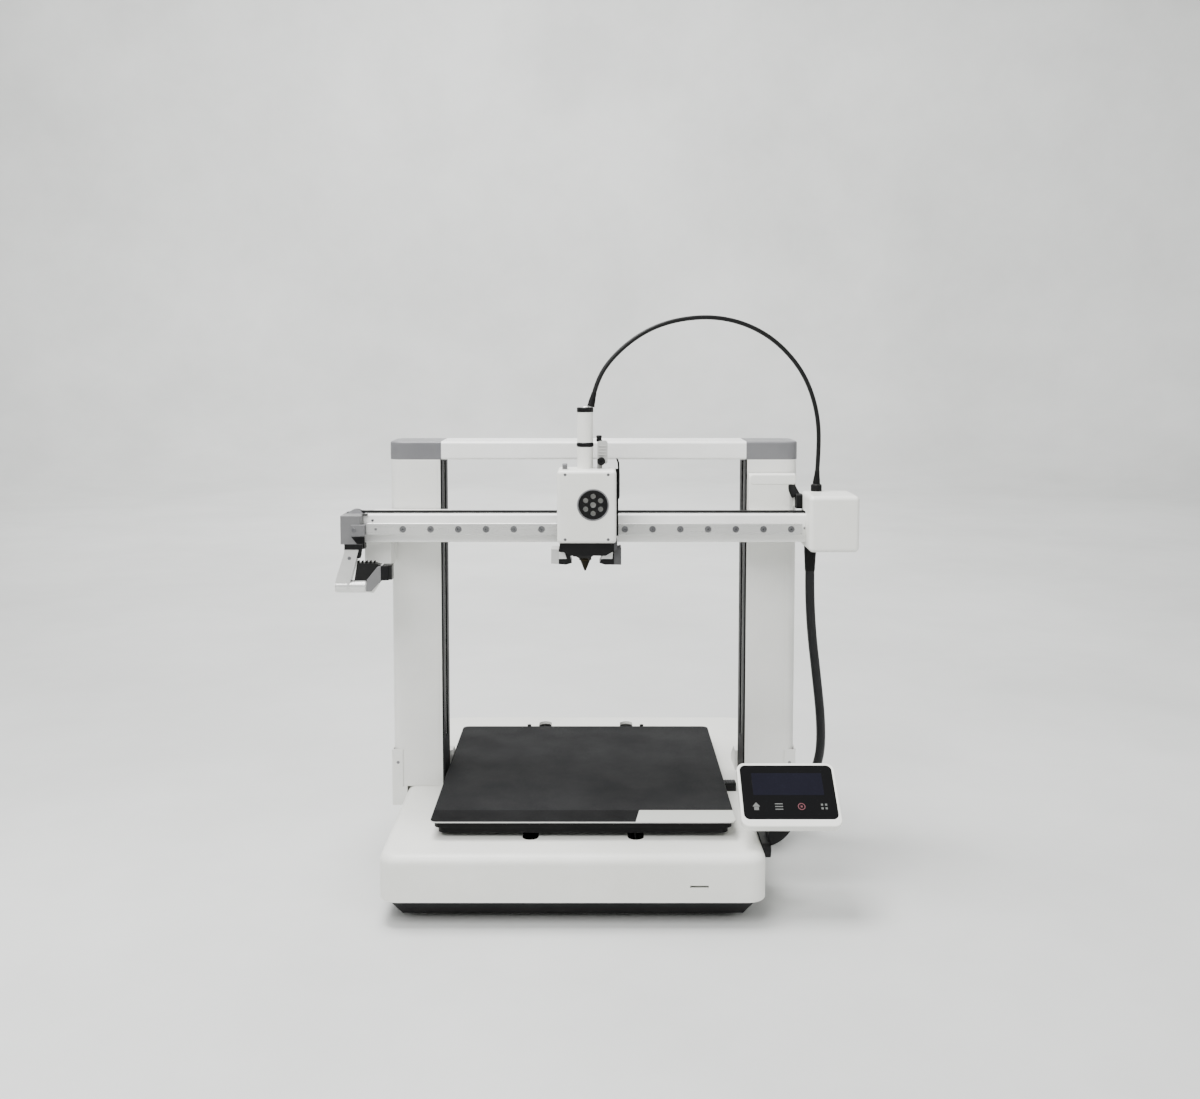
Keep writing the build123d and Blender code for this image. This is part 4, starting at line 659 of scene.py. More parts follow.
def makeHarness(spec):
    line = routeLine("harnessRoute", spec["points"])
    radius = spec["diameter"] / 2
    cable = makePiece("harnessCable", lambda bm: addTube(bm, line, lambda s: radius, spec["sides"]), None,
                      looks["sleeveWeave"], sharp=60)
    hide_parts("harness_cable")
    start, end = spec["points"][0], spec["points"][-1]
    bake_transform(cable)
    part, radiusAt = taperRings(line, spec["bootLength"], spec["bootRadius"], radius + 0.0003)
    boot = makePiece("harnessBoot", lambda bm: addTube(bm, part, radiusAt, 32), "gantry", looks["footRubber"],
                     sharp=60)
    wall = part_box("base_shell")[1].x
    ring = spec["grommetRadius"]
    inner = radius + 0.0002

    def fillGrommet(bm):
        addLathe(bm, [
            (inner, -0.0006), (ring - 0.0008, -0.0006), (ring, 0.0004), (ring, 0.0012),
            (ring - 0.0008, 0.0022),
            (ring - 0.0022, 0.0026), (inner + 0.0008, 0.006), (inner, 0.0064), (inner, -0.0006),
        ], (wall + 0.0002, end[1], end[2]), (1, 0, 0), sides=40)
    grommet = makePiece("harnessGrommet", fillGrommet, "base", looks["footRubber"])


def makeSleeveLook():
    # a braided sleeve: fine crossing strands
    material = makeFinish("sleeveWeave", finishes["cableSheath"])
    tree = material.node_tree
    place = ownPlace(tree)
    crossing = []
    for turn in (0.9, -0.9):
        turned = addNode(tree, "Mapping", {"Vector": place, "Rotation": (turn, turn, 0.4)})
        crossing.append(addNode(tree, "TexWave", {"Vector": turned.outputs[0], "Scale": 380.0,
                                                            "Distortion": 0.3}).outputs["Fac"])
    weave = addNode(tree, "Math", {0: crossing[0], 1: crossing[1]}, operation="MULTIPLY")
    bump = addNode(tree, "Bump", {"Strength": 0.5, "Distance": 0.00025, "Height": weave.outputs[0]})
    tree.links.new(bump.outputs[0], tree.nodes["Principled BSDF"].inputs["Normal"])
    insertMix(material, weave.outputs[0], tint("2c2c2f"))
    return material


looks["sleeveWeave"] = makeSleeveLook()
makeToolheadCable(toolheadCable)
makeHarness(harness)
print("cables laid")


# toolhead details

headDetails = {
    "ringLow": 0.3913, "ringHigh": 0.3951, "ringRadius": 0.00735, "grips": 24, "rimWidth": 0.0013,
    "knobRadius": 0.0026, "sockWall": 0.0012, "faceGap": 0.0009, "faceRadius": 0.0113, "frontFace": -0.119,
    # profiles and outlines, in millimetres
    "collet": [(2.3, -1), (3.6, -1), (3.6, 0.4), (3.3, 0.7), (2.6, 0.7), (2.3, 0.4), (2.3, -1)],
    "wheel": [(0, -0.6), (3.4, -0.6), (3.6, 0), (3.6, 2.4), (3, 3), (1.5, 3), (1.5, 2), (0, 2)],
    "leadBottom": [(0, 35.5), (1.6, 34.5), (2.2, 37)],
    "leadTop": [(2.2, -6), (1.8, 4), (0.6, 7.2), (-1.2, 7.8), (-0.8, 6.6), (0.2, 3.6), (0.8, -6)],
    "leftDeflector": [(6.6, 5.2), (13.5, 5.2), (11.8, 11.2), (6.6, 11.2)],
    "rightDeflector": [(-18.2, 5.2), (-7.8, 5.2), (-7.2, 11.2), (-14.2, 11.2)],
    "skirt": [(-14.5, -7.4), (12.5, -7.4), (8.5, -12.5), (4.8, -15.2), (-4.8, -15.2), (-7.5, -13.8),
              (-9.8, -13.8)],
}


def makeGuideRing(spec):
    low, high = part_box("filament_guide")
    middle = ((low.x + high.x) / 2, (low.y + high.y) / 2, 0)
    core, outer = (high.x - low.x) / 2 - 0.0009, spec["ringRadius"]
    bottom, top = spec["ringLow"], spec["ringHigh"]

    def fill(bm):
        addLathe(bm, [(core, bottom), (outer - 0.0006, bottom), (outer, bottom + 0.0006),
                      (outer, top - 0.0006),
                      (outer - 0.0006, top), (core, top), (core, bottom)], middle, sides=48)
        for k in range(spec["grips"]):
            angle = 2 * math.pi * k / spec["grips"]
            grip = Matrix.Translation(Vector(middle)) @ Matrix.Rotation(angle, 4, "Z")
            addBlock(bm, (outer - 0.0004, -0.0003, bottom + 0.0009),
                     (outer + 0.0002, 0.0003, top - 0.0009), grip)
    makePiece("guideRing", fill, "toolhead", looks["blackPlastic"])
    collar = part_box("inlet_fitting")
    rim = (collar[1].x - collar[0].x) / 2

    def fillCollet(bm):  # the push-in ring of the inlet, round its bore
        top = collar[1].z
        addLathe(bm, inMm(spec["collet"], y=top), middle, sides=40)
        for side in (-1, 1):
            addBlock(bm, (middle[0] - 0.0012, middle[1] + side * (rim - 0.0034) - 0.0008, top - 0.0004),
                     (middle[0] + 0.0012, middle[1] + side * (rim - 0.0034) + 0.0008, top + 0.0004))
    makePiece("inletCollet", fillCollet, "toolhead", looks["castSilver"])


def makeLeverParts(spec):
    low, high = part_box("tension_lever")
    top = high.z
    radius = spec["knobRadius"]
    y = low.y + 0.003

    def fill(bm):
        addLathe(bm, [(0, -0.0005), (radius - 0.0004, -0.0005), (radius, 0.0002), (radius * 0.86, 0.0022),
                      (radius, 0.0042), (radius - 0.0006, 0.005), (0, 0.005)],
                 (high.x - 0.0075, y + 0.002, top - 0.0002), sides=28)
        wheel = (high.x - 0.0057, y - 0.0031, top - 0.0175)
        addLathe(bm, inMm(spec["wheel"]), wheel, (0, -1, 0), sides=28)
    makePiece("leverKnobs", fill, "lever", looks["blackPlastic"])

    def fillRibs(bm):
        for k in range(4):
            z = top - 0.0125 + k * 0.0026
            addBlock(bm, (high.x - 0.0078, low.y + 0.0002, z), (high.x - 0.0014, low.y + 0.0016, z + 0.0009))
    makePiece("leverRibs", fillRibs, "lever", looks["fanPlastic"], edge=0.0002)


def makeCoverDetails(spec):
    low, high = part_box("front_cover")
    fan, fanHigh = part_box("fan_grille")
    centre = Vector(((fan.x + fanHigh.x) / 2, low.y, (fan.z + fanHigh.z) / 2))
    outer = (fanHigh.x - fan.x) / 2 + spec["rimWidth"]

    def fillRim(bm):
        addLathe(bm, [(outer - 0.0012, -0.0005), (outer, -0.0005), (outer, 0.0002), (outer - 0.0004, 0.0005),
                      (outer - 0.0010, 0.0005), (outer - 0.0012, 0.0002), (outer - 0.0012, -0.0005)],
                 centre, (0, -1, 0), sides=64)
    makePiece("fanRim", fillRim, "toolhead", looks["capPlastic"], sharp=30)

    def fillStub(bm):  # the small grey clip at the top left
        addBlock(bm, (low.x + 0.0042, low.y + 0.014, high.z - 0.0002),
                 (low.x + 0.0086, low.y + 0.020, high.z + 0.0048))
        addBlock(bm, (low.x + 0.0048, low.y + 0.012, high.z + 0.0028),
                 (low.x + 0.0080, low.y + 0.022, high.z + 0.0042))
    makePiece("coverClip", fillStub, "toolhead", looks["capPlastic"], edge=0.0005)

    def fillStrip(bm):  # the flat lead down the right side
        x, y = high.x + 0.0014, high.y - 0.004
        outline = inMm(spec["leadBottom"], x, low.z) + inMm(spec["leadTop"], x, high.z)
        addPrism(bm, outline, y, y + 0.006)
    makePiece("sideLead", fillStrip, "toolhead", looks["blackPlastic"], edge=0.0002)

    def fillBack(bm):  # a plug and its small board at the back of the head
        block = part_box("toolhead_frame")
        y = block[1].y
        addBlock(bm, (block[0].x + 0.012, y - 0.0004, high.z - 0.021),
                 (block[0].x + 0.036, y + 0.0012, high.z - 0.006))
        for k in range(3):
            x = block[0].x + 0.014 + k * 0.0075
            addBlock(bm, (x, y + 0.0004, high.z - 0.017), (x + 0.005, y + 0.0036, high.z - 0.011))
    makePiece("headPlugs", fillBack, "toolhead", looks["trayPlastic"], edge=0.0003)


def makeHotEnd(spec):
    low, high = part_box("heater_block")
    wall = spec["sockWall"]

    def fillSock(bm):  # a silicone sock round the heater block
        inner = roundedOutline(low.x, high.x, low.y, high.y, 0.0015)
        outer = roundedOutline(low.x - wall, high.x + wall, low.y - 0.0002, high.y + wall, 0.0022)
        bottom, top = low.z + 0.0006, low.z + 0.0105
        rings = [[bm.verts.new((x, y, z)) for x, y in outline]
                 for outline, z in ((outer, bottom), (outer, top), (inner, top), (inner, bottom))]
        joinOutlines(bm, rings)
    makePiece("heaterSock", fillSock, "toolhead", looks["heaterSock"])

    def fillDeflectors(bm):  # the pale air deflectors on the duct's two arms
        duct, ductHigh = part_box("cooling_duct")
        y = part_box("heater_block")[0].y - 0.0088
        for points in (inMm(spec["leftDeflector"], duct.x, duct.z),
                       inMm(spec["rightDeflector"], ductHigh.x, duct.z)):
            addPrism(bm, points, y, y + 0.002)
    makePiece("airDeflectors", fillDeflectors, "toolhead", looks["castSilver"], edge=0.0003)


def makeFanFace(spec):
    grille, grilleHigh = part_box("fan_grille")
    centre = ((grille.x + grilleHigh.x) / 2, grilleHigh.y + spec["faceGap"], (grille.z + grilleHigh.z) / 2)
    radius = spec["faceRadius"]

    def fill(bm):  # the pale face of the fan, close behind the grille
        profile = [(0, 0), (3.6, 0), (4, -0.3), (radius / mm, -0.3), (radius / mm, -0.9), (0, -0.9)]
        addLathe(bm, inMm(profile), centre, (0, -1, 0), sides=48)
        turn = Matrix.Translation(Vector(centre))
        for k in range(7):
            blade = turn @ Matrix.Rotation(2 * math.pi * k / 7, 4, "Y")
            addBlock(bm, (0.0042, 0.0, -0.0003), (radius - 0.0004, 0.0006, 0.0003), blade)
    makePiece("fanFace", fill, "fan_rotor", looks["fanPale"], sharp=30)


def makeHotEndFront(spec):
    block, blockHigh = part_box("heater_block")
    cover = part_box("front_cover")[0]
    middle = (block.x + blockHigh.x) / 2 + 0.0005

    def fillShield(bm):
        outline = roundedOutline(middle - 0.0095, middle + 0.009, cover.z - 0.0088, cover.z - 0.0031,
                                 0.0006, 4)
        addPrism(bm, outline, spec["frontFace"] - 0.0006, spec["frontFace"] + 0.0006)
    makePiece("heaterShield", fillShield, "toolhead", looks["heaterMetal"], edge=0.0002)

    def fillSkirt(bm):  # the black skirt that narrows to the nozzle
        outline = inMm(spec["skirt"], middle, cover.z)
        addPrism(bm, outline, block.y - 0.0042, block.y - 0.001)
    makePiece("nozzleSkirt", fillSkirt, "toolhead", looks["heaterSock"], edge=0.0005)


makeFanFace(headDetails)
makeHotEndFront(headDetails)
makeGuideRing(headDetails)
makeLeverParts(headDetails)
makeCoverDetails(headDetails)
makeHotEnd(headDetails)
print("toolhead details made")


# crossbeam details

beamDetails = {"toothPitch": 0.002, "toothDepth": 0.0004, "lidHeight": 0.0095, "lidProud": 0.0009,
               "endScrewRadius": 0.0012}


def makeBeltTeeth(spec):
    belt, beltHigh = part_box("x_belt")
    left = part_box("x_idler_pulley")[1].x + 0.002
    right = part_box("x_drive_pulley")[0].x - 0.002
    inner = beltHigh.z - 0.0014

    def fill(bm):
        x = left
        while x < right:
            addPrism(bm, [(x - 0.0005, inner + 0.0001), (x + 0.0005, inner + 0.0001),
                          (x + 0.00032, inner - spec["toothDepth"]),
                          (x - 0.00032, inner - spec["toothDepth"])], belt.y + 0.0001, beltHigh.y - 0.0001)
            x += spec["toothPitch"]
    makePiece("beltTeeth", fill, "gantry", looks["beltRubber"], sharp=30)


def makeBeamEnds(spec):
    beam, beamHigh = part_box("x_beam")
    rail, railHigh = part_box("x_rail")
    block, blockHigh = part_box("left_end_block")
    middle = (rail.z + railHigh.z) / 2

    def fillScrews(bm):
        radius = spec["endScrewRadius"]
        addScrew(bm, (beam.x + 0.0084, beam.y, beamHigh.z - 0.0055), (0, -1, 0), radius, 0.0005, 0.0006)
        for x in (rail.x + 0.0086, railHigh.x + 0.0035):
            y = rail.y if x < railHigh.x else beam.y
            addScrew(bm, (x, y, middle), (0, -1, 0), radius, 0.0001, 0.0006)
        addScrew(bm, (block.x + 0.0125, block.y - 0.0010, middle), (0, -1, 0), 0.0019, 0.0002, 0.0009)
        for z in (block.z + 0.006, blockHigh.z - 0.006):  # at the end face
            addScrew(bm, (block.x + 0.0002, (block.y + blockHigh.y) / 2, z), (-1, 0, 0), 0.0019, 0.0002,
                     0.0009)
    makePiece("beamEndScrews", fillScrews, "gantry", looks["screwSteel"], sharp=30)

    def fillStop(bm):  # the clamp over the rail's left end
        addBlock(bm, (block.x + 0.0095, block.y - 0.0010, middle - 0.0058),
                 (rail.x - 0.0004, block.y + 0.0006, middle + 0.0048))
        addBlock(bm, (blockHigh.x + 0.0002, block.y + 0.0008, middle - 0.0052),
                 (rail.x - 0.0003, beam.y, middle + 0.0042))
    makePiece("railClamp", fillStop, "gantry", looks["blockPlastic"], edge=0.0006)

    def fillShade(bm):  # painted shade: the dark liner under the end block stands in for the shade beneath it; also the clip where the belt goes in
        addBlock(bm, (block.x + 0.0055, block.y + 0.002, block.z - 0.0045),
                 (beam.x + 0.003, block.y + 0.012, block.z + 0.0002))
        addPrism(bm, [(beam.x - 0.0085, middle - 0.0062), (beam.x + 0.0032, middle - 0.0062),
                      (beam.x + 0.0032, block.z - 0.003),
                      (beam.x - 0.001, block.z - 0.003)], block.y - 0.0004, block.y + 0.0035)
        addBlock(bm, (beam.x - 0.0012, block.y + 0.010, beamHigh.z - 0.0008),
                 (beam.x + 0.0042, block.y + 0.0162, beamHigh.z + 0.0004))
    makePiece("endShadeAndBeltClip", fillShade, "gantry", looks["blackPlastic"], edge=0.0004)


def makeCarriageLid(spec):
    low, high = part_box("right_z_carriage")
    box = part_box("x_end_box")
    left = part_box("post_inner_strips")[1].x + 0.0008
    top = high.z
    bottom = top - spec["lidHeight"]
    front = low.y

    def fill(bm):
        outline = roundedOutline(left, high.x, bottom, top, 0.0028)
        addPrism(bm, outline, front - spec["lidProud"], front + 0.004)
    makePiece("carriageLid", fill, "gantry", looks["coverPlastic"], edge=0.0012)

    def fillFlange(bm):  # the pale foot of the moulded lead
        addBlock(bm, (box[0].x - 0.0068, front + 0.0004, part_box("x_beam")[1].z + 0.0045),
                 (box[0].x - 0.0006, front + 0.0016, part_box("x_beam")[1].z + 0.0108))
    makePiece("leadFlange", fillFlange, "gantry", looks["coverPlastic"], edge=0.0005)

    def fillSeam(bm):  # the screws at the back of the motor's cover
        y = box[1].y
        for x in (box[0].x + 0.007, box[1].x - 0.007):
            for z in (box[0].z + 0.007, box[1].z - 0.007):
                addScrew(bm, (x, y, z), (0, 1, 0), 0.0021, 0.0006, 0.001)
    makePiece("coverBackScrews", fillSeam, "gantry", looks["screwSteel"], sharp=30)


makeBeltTeeth(beamDetails)
makeBeamEnds(beamDetails)
makeCarriageLid(beamDetails)
print("crossbeam details made")


# purge station

purgeDetails = {
    "barrelRadius": 0.005, "barrelForward": 0.0017, "barrelUp": 0.001, "lips": 5, "lipPitch": 0.0036,
    # outlines, in millimetres
    "lip": [(0, -0.6), (1.8, -0.6), (1.3, 1.8), (0.5, 1.8)],
    "rivet": [(0, -0.4), (3.6, -0.4), (4.2, 0), (3.6, 0)],
    "strut": [(24.2, 12.6), (33.8, 24.3), (36.8, 24.8), (36.8, 11.6), (28, 2.2), (23.2, 2.2)],
    "grip": [(36.6, 11.8), (36.6, 25.2), (43.8, 25.4), (43.8, 12.1)],
    "lining": [(18.5, -4), (21.5, -4), (20.8, -9.5), (19.8, -12.5), (16.2, -12.5)],
}


def makePurgeDetails(spec):
    low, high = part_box("purge_bracket")
    arm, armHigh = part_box("wiper_arm")
    axis = Vector((arm.x, (arm.y + armHigh.y) / 2, arm.z + 0.0055))

    def fillCaps(bm):
        addLathe(bm, inMm(spec["rivet"]), (low.x + 0.0004, axis.y, axis.z), (-1, 0, 0), sides=28)
        addScrew(bm, (low.x + 0.0134, low.y, high.z - 0.011), (0, -1, 0), 0.0016, 0.0005, 0.0008)
    makePiece("purgeRivets", fillCaps, "gantry", looks["screwSteel"], sharp=30)

    def fillLips(bm):
        for k in range(spec["lips"]):
            x = arm.x + 0.0148 + k * spec["lipPitch"]
            addPrism(bm, inMm(spec["lip"], x, armHigh.z), arm.y + 0.0032, armHigh.y - 0.0016)
    makePiece("wiperLips", fillLips, "wiper", looks["footRubber"], edge=0.0002)

    def fillBarrel(bm, left, right):  # a rounded barrel along the hinge
        radius = spec["barrelRadius"]
        addLathe(bm, [(0, 0), (radius - 0.0009, 0), (radius, 0.0009), (radius, right - left - 0.0009),
                      (radius - 0.0009, right - left), (0, right - left)],
                  (left, axis.y - spec["barrelForward"], axis.z + spec["barrelUp"]), (1, 0, 0), sides=36)
    seam = arm.x + 0.0078
    for name, body, left, right in (("purgeBarrel", "gantry", low.x + 0.0002, seam - 0.0003),
                                    ("wiperBarrel", "wiper", seam + 0.0003, arm.x + 0.0235)):
        makePiece(name, lambda bm: fillBarrel(bm, left, right), body, looks["castSilver"],
                  sharp=30)

    for name, points, look, slot in (("wiperStrut", spec["strut"], "blockPlastic", "grey_plastic"),
                                     ("wiperGrip", spec["grip"], "blackPlastic", "black_plastic")):
        outline = inMm(points, arm.x, arm.z)
        makePiece(name, lambda bm: addPrism(bm, outline, arm.y - 0.0008, arm.y + 0.0012), "wiper",
                  looks[look],
                  edge=0.0005)

    def fillHood(bm):  # the black lining between the bracket and the wiper
        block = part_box("left_end_block")[0]
        top = block.z + 0.0015
        addBlock(bm, (block.x + 0.0055, low.y - 0.0007, top - 0.0048), (block.x + 0.0215, low.y + 0.002, top))
        outline = inMm(spec["lining"], block.x, top)
        addPrism(bm, outline, low.y - 0.0004, low.y + 0.0012)
    makePiece("purgeHood", fillHood, "gantry", looks["blackPlastic"], edge=0.0003)


makePurgeDetails(purgeDetails)


# screen: display, touch marks, a pivot cap and the bracket's screws

screenFace = {"tilt": 39.0, "glassThickness": 0.0012, "displaySide": 0.0095, "displayLow": 0.0225,
              "displayTop": 0.0075,
              "markSize": 0.0066, "markHeight": 0.0118, "markSpread": 0.019}


def makeScreenDetails(spec):
    low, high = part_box("screen_glass")
    tilt = math.radians(spec["tilt"])
    across = high.x - low.x
    up = (high.z - low.z - spec["glassThickness"] * math.cos(tilt)) / math.sin(tilt)
    corner = Vector((low.x, low.y, low.z + spec["glassThickness"] * math.cos(tilt)))
    face = Matrix.Translation(corner) @ Matrix.Rotation(tilt, 4, "X")
    lift = 0.00002

    def fillDisplay(bm):
        outline = roundedOutline(spec["displaySide"], across - spec["displaySide"], spec["displayLow"],
                                 up - spec["displayTop"], 0.0008, 4)
        addPrism(bm, outline, lift, lift + 0.00006, axis=2, move=face)
    makePiece("displayPane", fillDisplay, "screen", looks["displayPane"])

    size = spec["markSize"]
    middle = across / 2

    def stroke(bm, x0, y0, x1, y1):
        addBlock(bm, (x0, y0, lift), (x1, y1, lift + 0.00006), face)

    def ringMark(bm, x, y, radius, width):
        addLathe(bm, [(radius - width, lift), (radius, lift), (radius, lift + 0.00006),
                      (radius - width, lift + 0.00006),
                      (radius - width, lift)], face @ Vector((x, y, 0)), face.to_3x3() @ Vector((0, 0, 1)),
                      sides=28)

    def fillMarks(bm):
        y = spec["markHeight"]
        half = size / 2
        x = middle - 1.5 * spec["markSpread"]  # a house
        addPrism(bm, [(x - half, y), (x + half, y), (x, y + 0.6 * size)], lift, lift + 0.00006, axis=2,
                 move=face)
        stroke(bm, x - 0.6 * half, y - 0.5 * size, x + 0.6 * half, y - 0.0002)
        x = middle - 0.5 * spec["markSpread"]  # three bars
        for k in range(3):
            stroke(bm, x - half, y - 0.45 * size + k * 0.38 * size, x + half,
                   y - 0.45 * size + k * 0.38 * size + 0.0009)
        x = middle + 1.5 * spec["markSpread"]  # four squares
        for i in (-1, 1):
            for j in (-1, 1):
                stroke(bm, x + i * 0.26 * size - 0.0009, y + j * 0.26 * size - 0.0009,
                       x + i * 0.26 * size + 0.0009,
                       y + j * 0.26 * size + 0.0009)
    makePiece("touchMarks", fillMarks, "screen", looks["whiteInk"])

    def fillStop(bm):
        x, y = middle + 0.5 * spec["markSpread"], spec["markHeight"]
        ringMark(bm, x, y, 0.48 * size, 0.0007)
        stroke(bm, x - 0.0008, y - 0.0008, x + 0.0008, y + 0.0008)
    makePiece("stopMark", fillStop, "screen", looks["redInk"])

    bracket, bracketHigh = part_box("screen_bracket")

    def fillPivot(bm):  # a round pivot cap at one end of the tilt axle
        y = (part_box("screen_bracket")[0].y + 0.0175 + 0.0025)
        z = bracketHigh.z - 0.007
        addLathe(bm, [(0, -0.0006), (0.0046, -0.0006), (0.0046, 0.0004), (0.0036, 0.0012), (0.0012, 0.0012),
                      (0.0012, 0.0006),
                      (0, 0.0006)], (bracketHigh.x, y, z), (1, 0, 0), sides=32)
    makePiece("pivotCap", fillPivot, "screen", looks["blackPlastic"])

    def fillScrews(bm):
        for dy in (0.006, 0.044):
            addScrew(bm, (bracket.x + 0.007, bracket.y + dy, bracket.z + 0.006), (1, 0, 0), 0.0024, 0.0008,
                     0.0012)
    makePiece("bracketScrews", fillScrews, "base", looks["screwSteel"], sharp=30)


makeScreenDetails(screenFace)
print("screen details made")


# base and posts

baseDetails = {"screwRadius": 0.0028, "panelProud": 0.0003, "plugWidth": 0.011}


def makeBaseDetails(spec):
    shell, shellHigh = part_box("base_shell")
    posts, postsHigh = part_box("z_posts")
    strips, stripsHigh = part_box("post_inner_strips")
    beam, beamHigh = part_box("top_beam")

    def fillPostScrews(bm):
        brackets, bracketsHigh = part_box("side_brackets")
        for side in (-1, 1):
            outer = side * bracketsHigh.x
            for z in (bracketsHigh.z - 0.010, bracketsHigh.z - 0.026, brackets.z + 0.010):
                addScrew(bm, (outer, (posts.y + postsHigh.y) / 2 - 0.006, z), (side, 0, 0), 0.0016, 0.0001,
                         0.0009)
            x = side * (postsHigh.x - 0.0045)
            addScrew(bm, (x, brackets.y, bracketsHigh.z - 0.0125), (0, -1, 0), 0.0015, 0.0001, 0.0007)
            for z in (posts.z + 0.016, posts.z + 0.032):  # behind each post
                for dx in (0.014, 0.034):
                    addScrew(bm, (side * (stripsHigh.x + dx), postsHigh.y, z), (0, 1, 0), 0.0026, 0.0010,
                             0.0013)
        for side in (-1, 1):  # on top of the beam's caps
            for dx in (0.012, 0.036):
                addScrew(bm, (side * (stripsHigh.x + dx), (posts.y + postsHigh.y) / 2, beamHigh.z),
                         (0, 0, 1), 0.0026, -0.0002, 0.0013)
    makePiece("frameScrews", fillPostScrews, "base", looks["screwSteel"], sharp=30)

    def fillPlug(bm):  # the bed cable's plug on the base, beside the plate
        x, y, z = stripsHigh.x - 0.0205, posts.y - 0.0135, shellHigh.z
        addBlock(bm, (x, y, z - 0.0004), (x + spec["plugWidth"], y + 0.010, z + 0.0075))
        addBlock(bm, (x + 0.001, y - 0.0012, z + 0.0012),
                 (x + spec["plugWidth"] - 0.001, y + 0.0002, z + 0.0062))
        for k in range(4):
            addBlock(bm, (x + 0.0012 + k * 0.0024, y + 0.001, z + 0.0074),
                     (x + 0.0024 + k * 0.0024, y + 0.009, z + 0.0082))
    makePiece("bedPlug", fillPlug, "base", looks["blackPlastic"], edge=0.0004)

    def fillPanels(bm):  # a flat trim on the front of each post
        for side in (-1, 1):
            x0, x1 = sorted((side * (stripsHigh.x + 0.0025), side * (postsHigh.x - 0.0105)))
            outline = [(x0, posts.z + 0.0005), (x1, posts.z + 0.0005), (x1, postsHigh.z - 0.0005),
                       (x0, postsHigh.z - 0.0005)]
            addPrism(bm, outline, posts.y - spec["panelProud"], posts.y + 0.0004)
    makePiece("postTrims", fillPanels, "base", looks["powderCoat"], edge=0.0002)

    def fillBezel(bm):
        y = shellHigh.y
        inlet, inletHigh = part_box("power_inlet")
        frameOut = roundedOutline(inlet.x - 0.0022, inletHigh.x + 0.0022, inlet.z - 0.0022,
                                  inletHigh.z + 0.0022, 0.0028)
        frameIn = roundedOutline(inlet.x + 0.0002, inletHigh.x - 0.0002, inlet.z + 0.0002,
                                 inletHigh.z - 0.0002, 0.0012)
        rings = [[bm.verts.new((x, d, z)) for x, z in outline] for outline, d in
                 ((frameOut, y - 0.0001), (frameOut, y + 0.0009), (frameIn, y + 0.0009),
                  (frameIn, y - 0.0001))]
        joinOutlines(bm, rings)
    makePiece("inletBezel", fillBezel, "base", looks["blackPlastic"], edge=0.0002)

    def fillBackScrews(bm):
        y = shellHigh.y
        for x in (-0.04, 0.02, 0.045, 0.135):
            addScrew(bm, (x, y, shell.z + 0.010), (0, 1, 0), spec["screwRadius"], 0.0009, 0.0014)
        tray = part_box("base_tray")[0].z
        for x in (-0.12, 0.0, 0.12):
            for dy in (-0.12, 0.12):
                addScrew(bm, (x, dy, tray), (0, 0, -1), spec["screwRadius"], 0.0009, 0.0014)
    makePiece("baseScrews", fillBackScrews, "base", looks["screwSteel"], sharp=30)


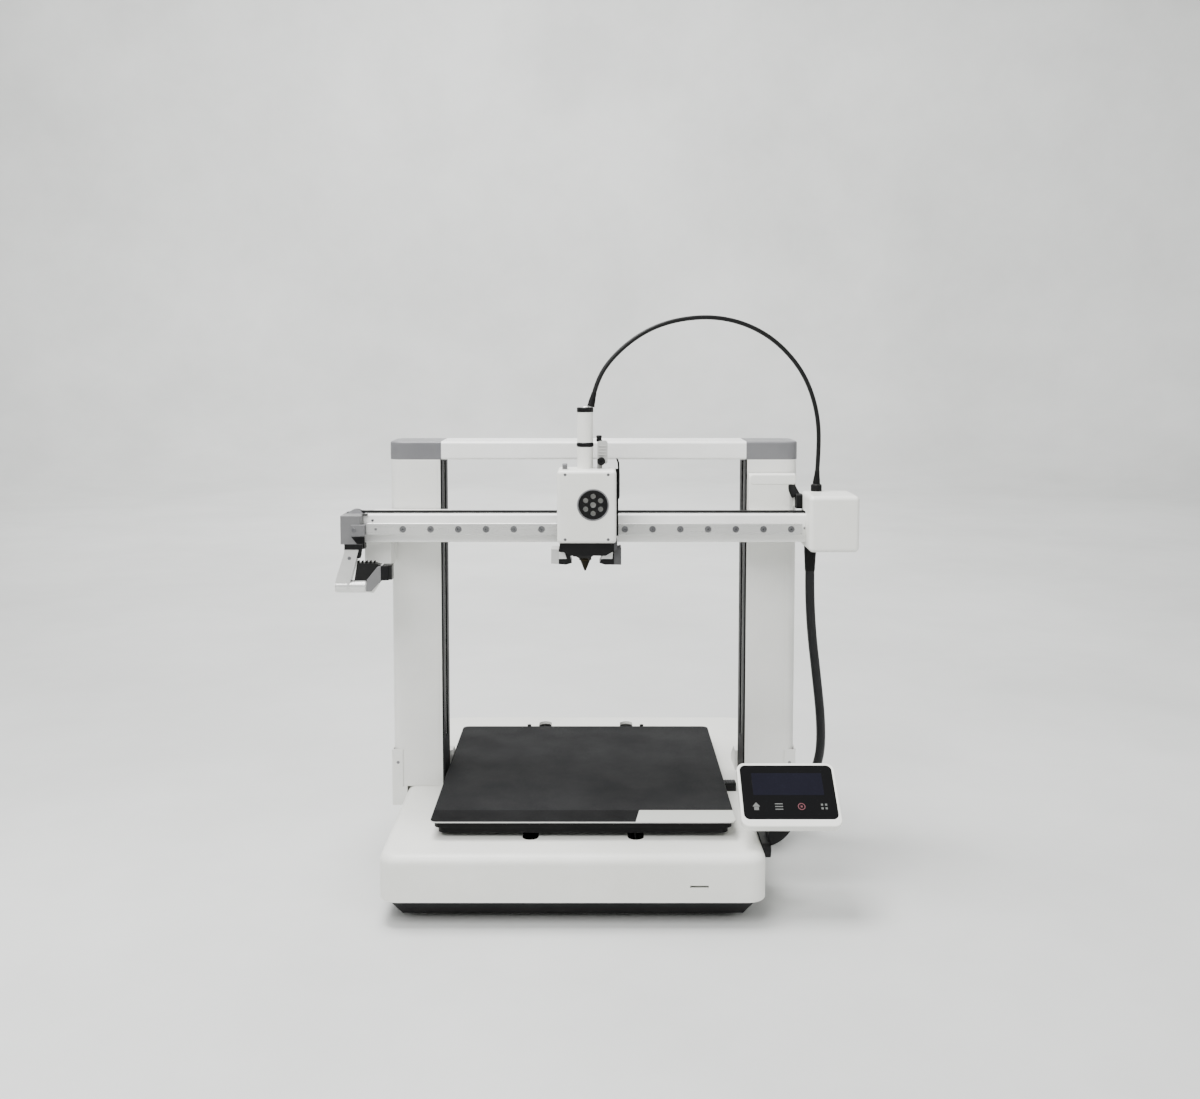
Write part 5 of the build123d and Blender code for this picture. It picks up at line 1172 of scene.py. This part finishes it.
def makeBedDetails():
    pan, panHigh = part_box("bed_frame")
    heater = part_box("heater_plate")

    def fillRibs(bm):  # stiffening ribs under the pan
        for k in range(7):
            x = pan.x + 0.03 + k * (panHigh.x - pan.x - 0.06) / 6
            if min(abs(x + 0.054), abs(x - 0.036)) < 0.010:
                continue
            addBlock(bm, (x - 0.001, pan.y + 0.02, pan.z - 0.0016),
                     (x + 0.001, panHigh.y - 0.03, pan.z + 0.0004))
    makePiece("panRibs", fillRibs, "bed", looks["bedPan"], edge=0.0004)

    def fillPads(bm):  # screws at the corners under the heater plate
        for x in (heater[0].x + 0.012, heater[1].x - 0.012):
            for y in (heater[0].y + 0.012, heater[1].y - 0.012):
                addScrew(bm, (x, y, heater[0].z - 0.0002), (0, 0, -1), 0.003, 0.0002, 0.0014)
    makePiece("heaterScrews", fillPads, "bed", looks["screwSteel"], sharp=30)


makeBaseDetails(baseDetails)
makeBedDetails()
print("base and bed details made")


# floor and light

studio = {"floorColor": "dadbd9", "floorRadius": 3.4, "coveRadius": 1.0, "wallHeight": 3.2,
          "world": (0.93, 0.94, 0.95)}
lamps = [
    # name, place, aims at, size, power
    ("keyLight", (-0.6, -1.3, 1.7), (0.0, 0.0, 0.2), 1.1, 40.0),
    ("fillLight", (1.6, -1.2, 1.0), (0.0, 0.0, 0.25), 1.6, 12.0),
    ("topLight", (-0.35, -0.05, 1.7), (0.0, -0.05, 0.2), 0.7, 42.0),
    ("backLight", (-0.5, 2.0, 2.2), (0.0, 3.4, 0.9), 1.8, 110.0),
]


def makeFloor(setup):
    pale = setup["floorColor"]
    finish = recipe(pale, "cccdcb", pale, (0.55, 0.7), 350.0, (0.05, 0.0002), 0.0, 0.0, drift=1.5)
    flat, cove = setup["floorRadius"], setup["coveRadius"]
    profile = [(0, 0), (0.6, 0), (1.6, 0), (flat, 0)]
    for i in range(1, 13):
        angle = math.radians(90 * i / 12)
        profile.append((flat + cove * math.sin(angle), cove * (1 - math.cos(angle))))
    profile.append((flat + cove, setup["wallHeight"]))
    floor = makePiece("studioFloor", lambda bm: addLathe(bm, profile, (0, 0, 0), sides=96), None,
                      makeFinish("floorPaper", finish), sharp=80)


def makeLights():
    world = bpy.data.worlds.new("studioWorld")
    scene.world = world
    world.use_nodes = True
    shade = world.node_tree.nodes["Background"]
    shade.inputs["Color"].default_value = (*studio["world"], 1.0)
    shade.inputs["Strength"].default_value = 0.72
    for name, place, target, size, power in lamps:
        data = bpy.data.lights.new(name, "AREA")
        data.shape = "SQUARE"
        data.size = size
        data.energy = power
        lamp = bpy.data.objects.new(name, data)
        scene.collection.objects.link(lamp)
        lamp.location = place
        lamp.rotation_euler = (Vector(target) - Vector(place)).to_track_quat("-Z", "Y").to_euler()


makeFloor(studio)
makeLights()
print("studio ready")
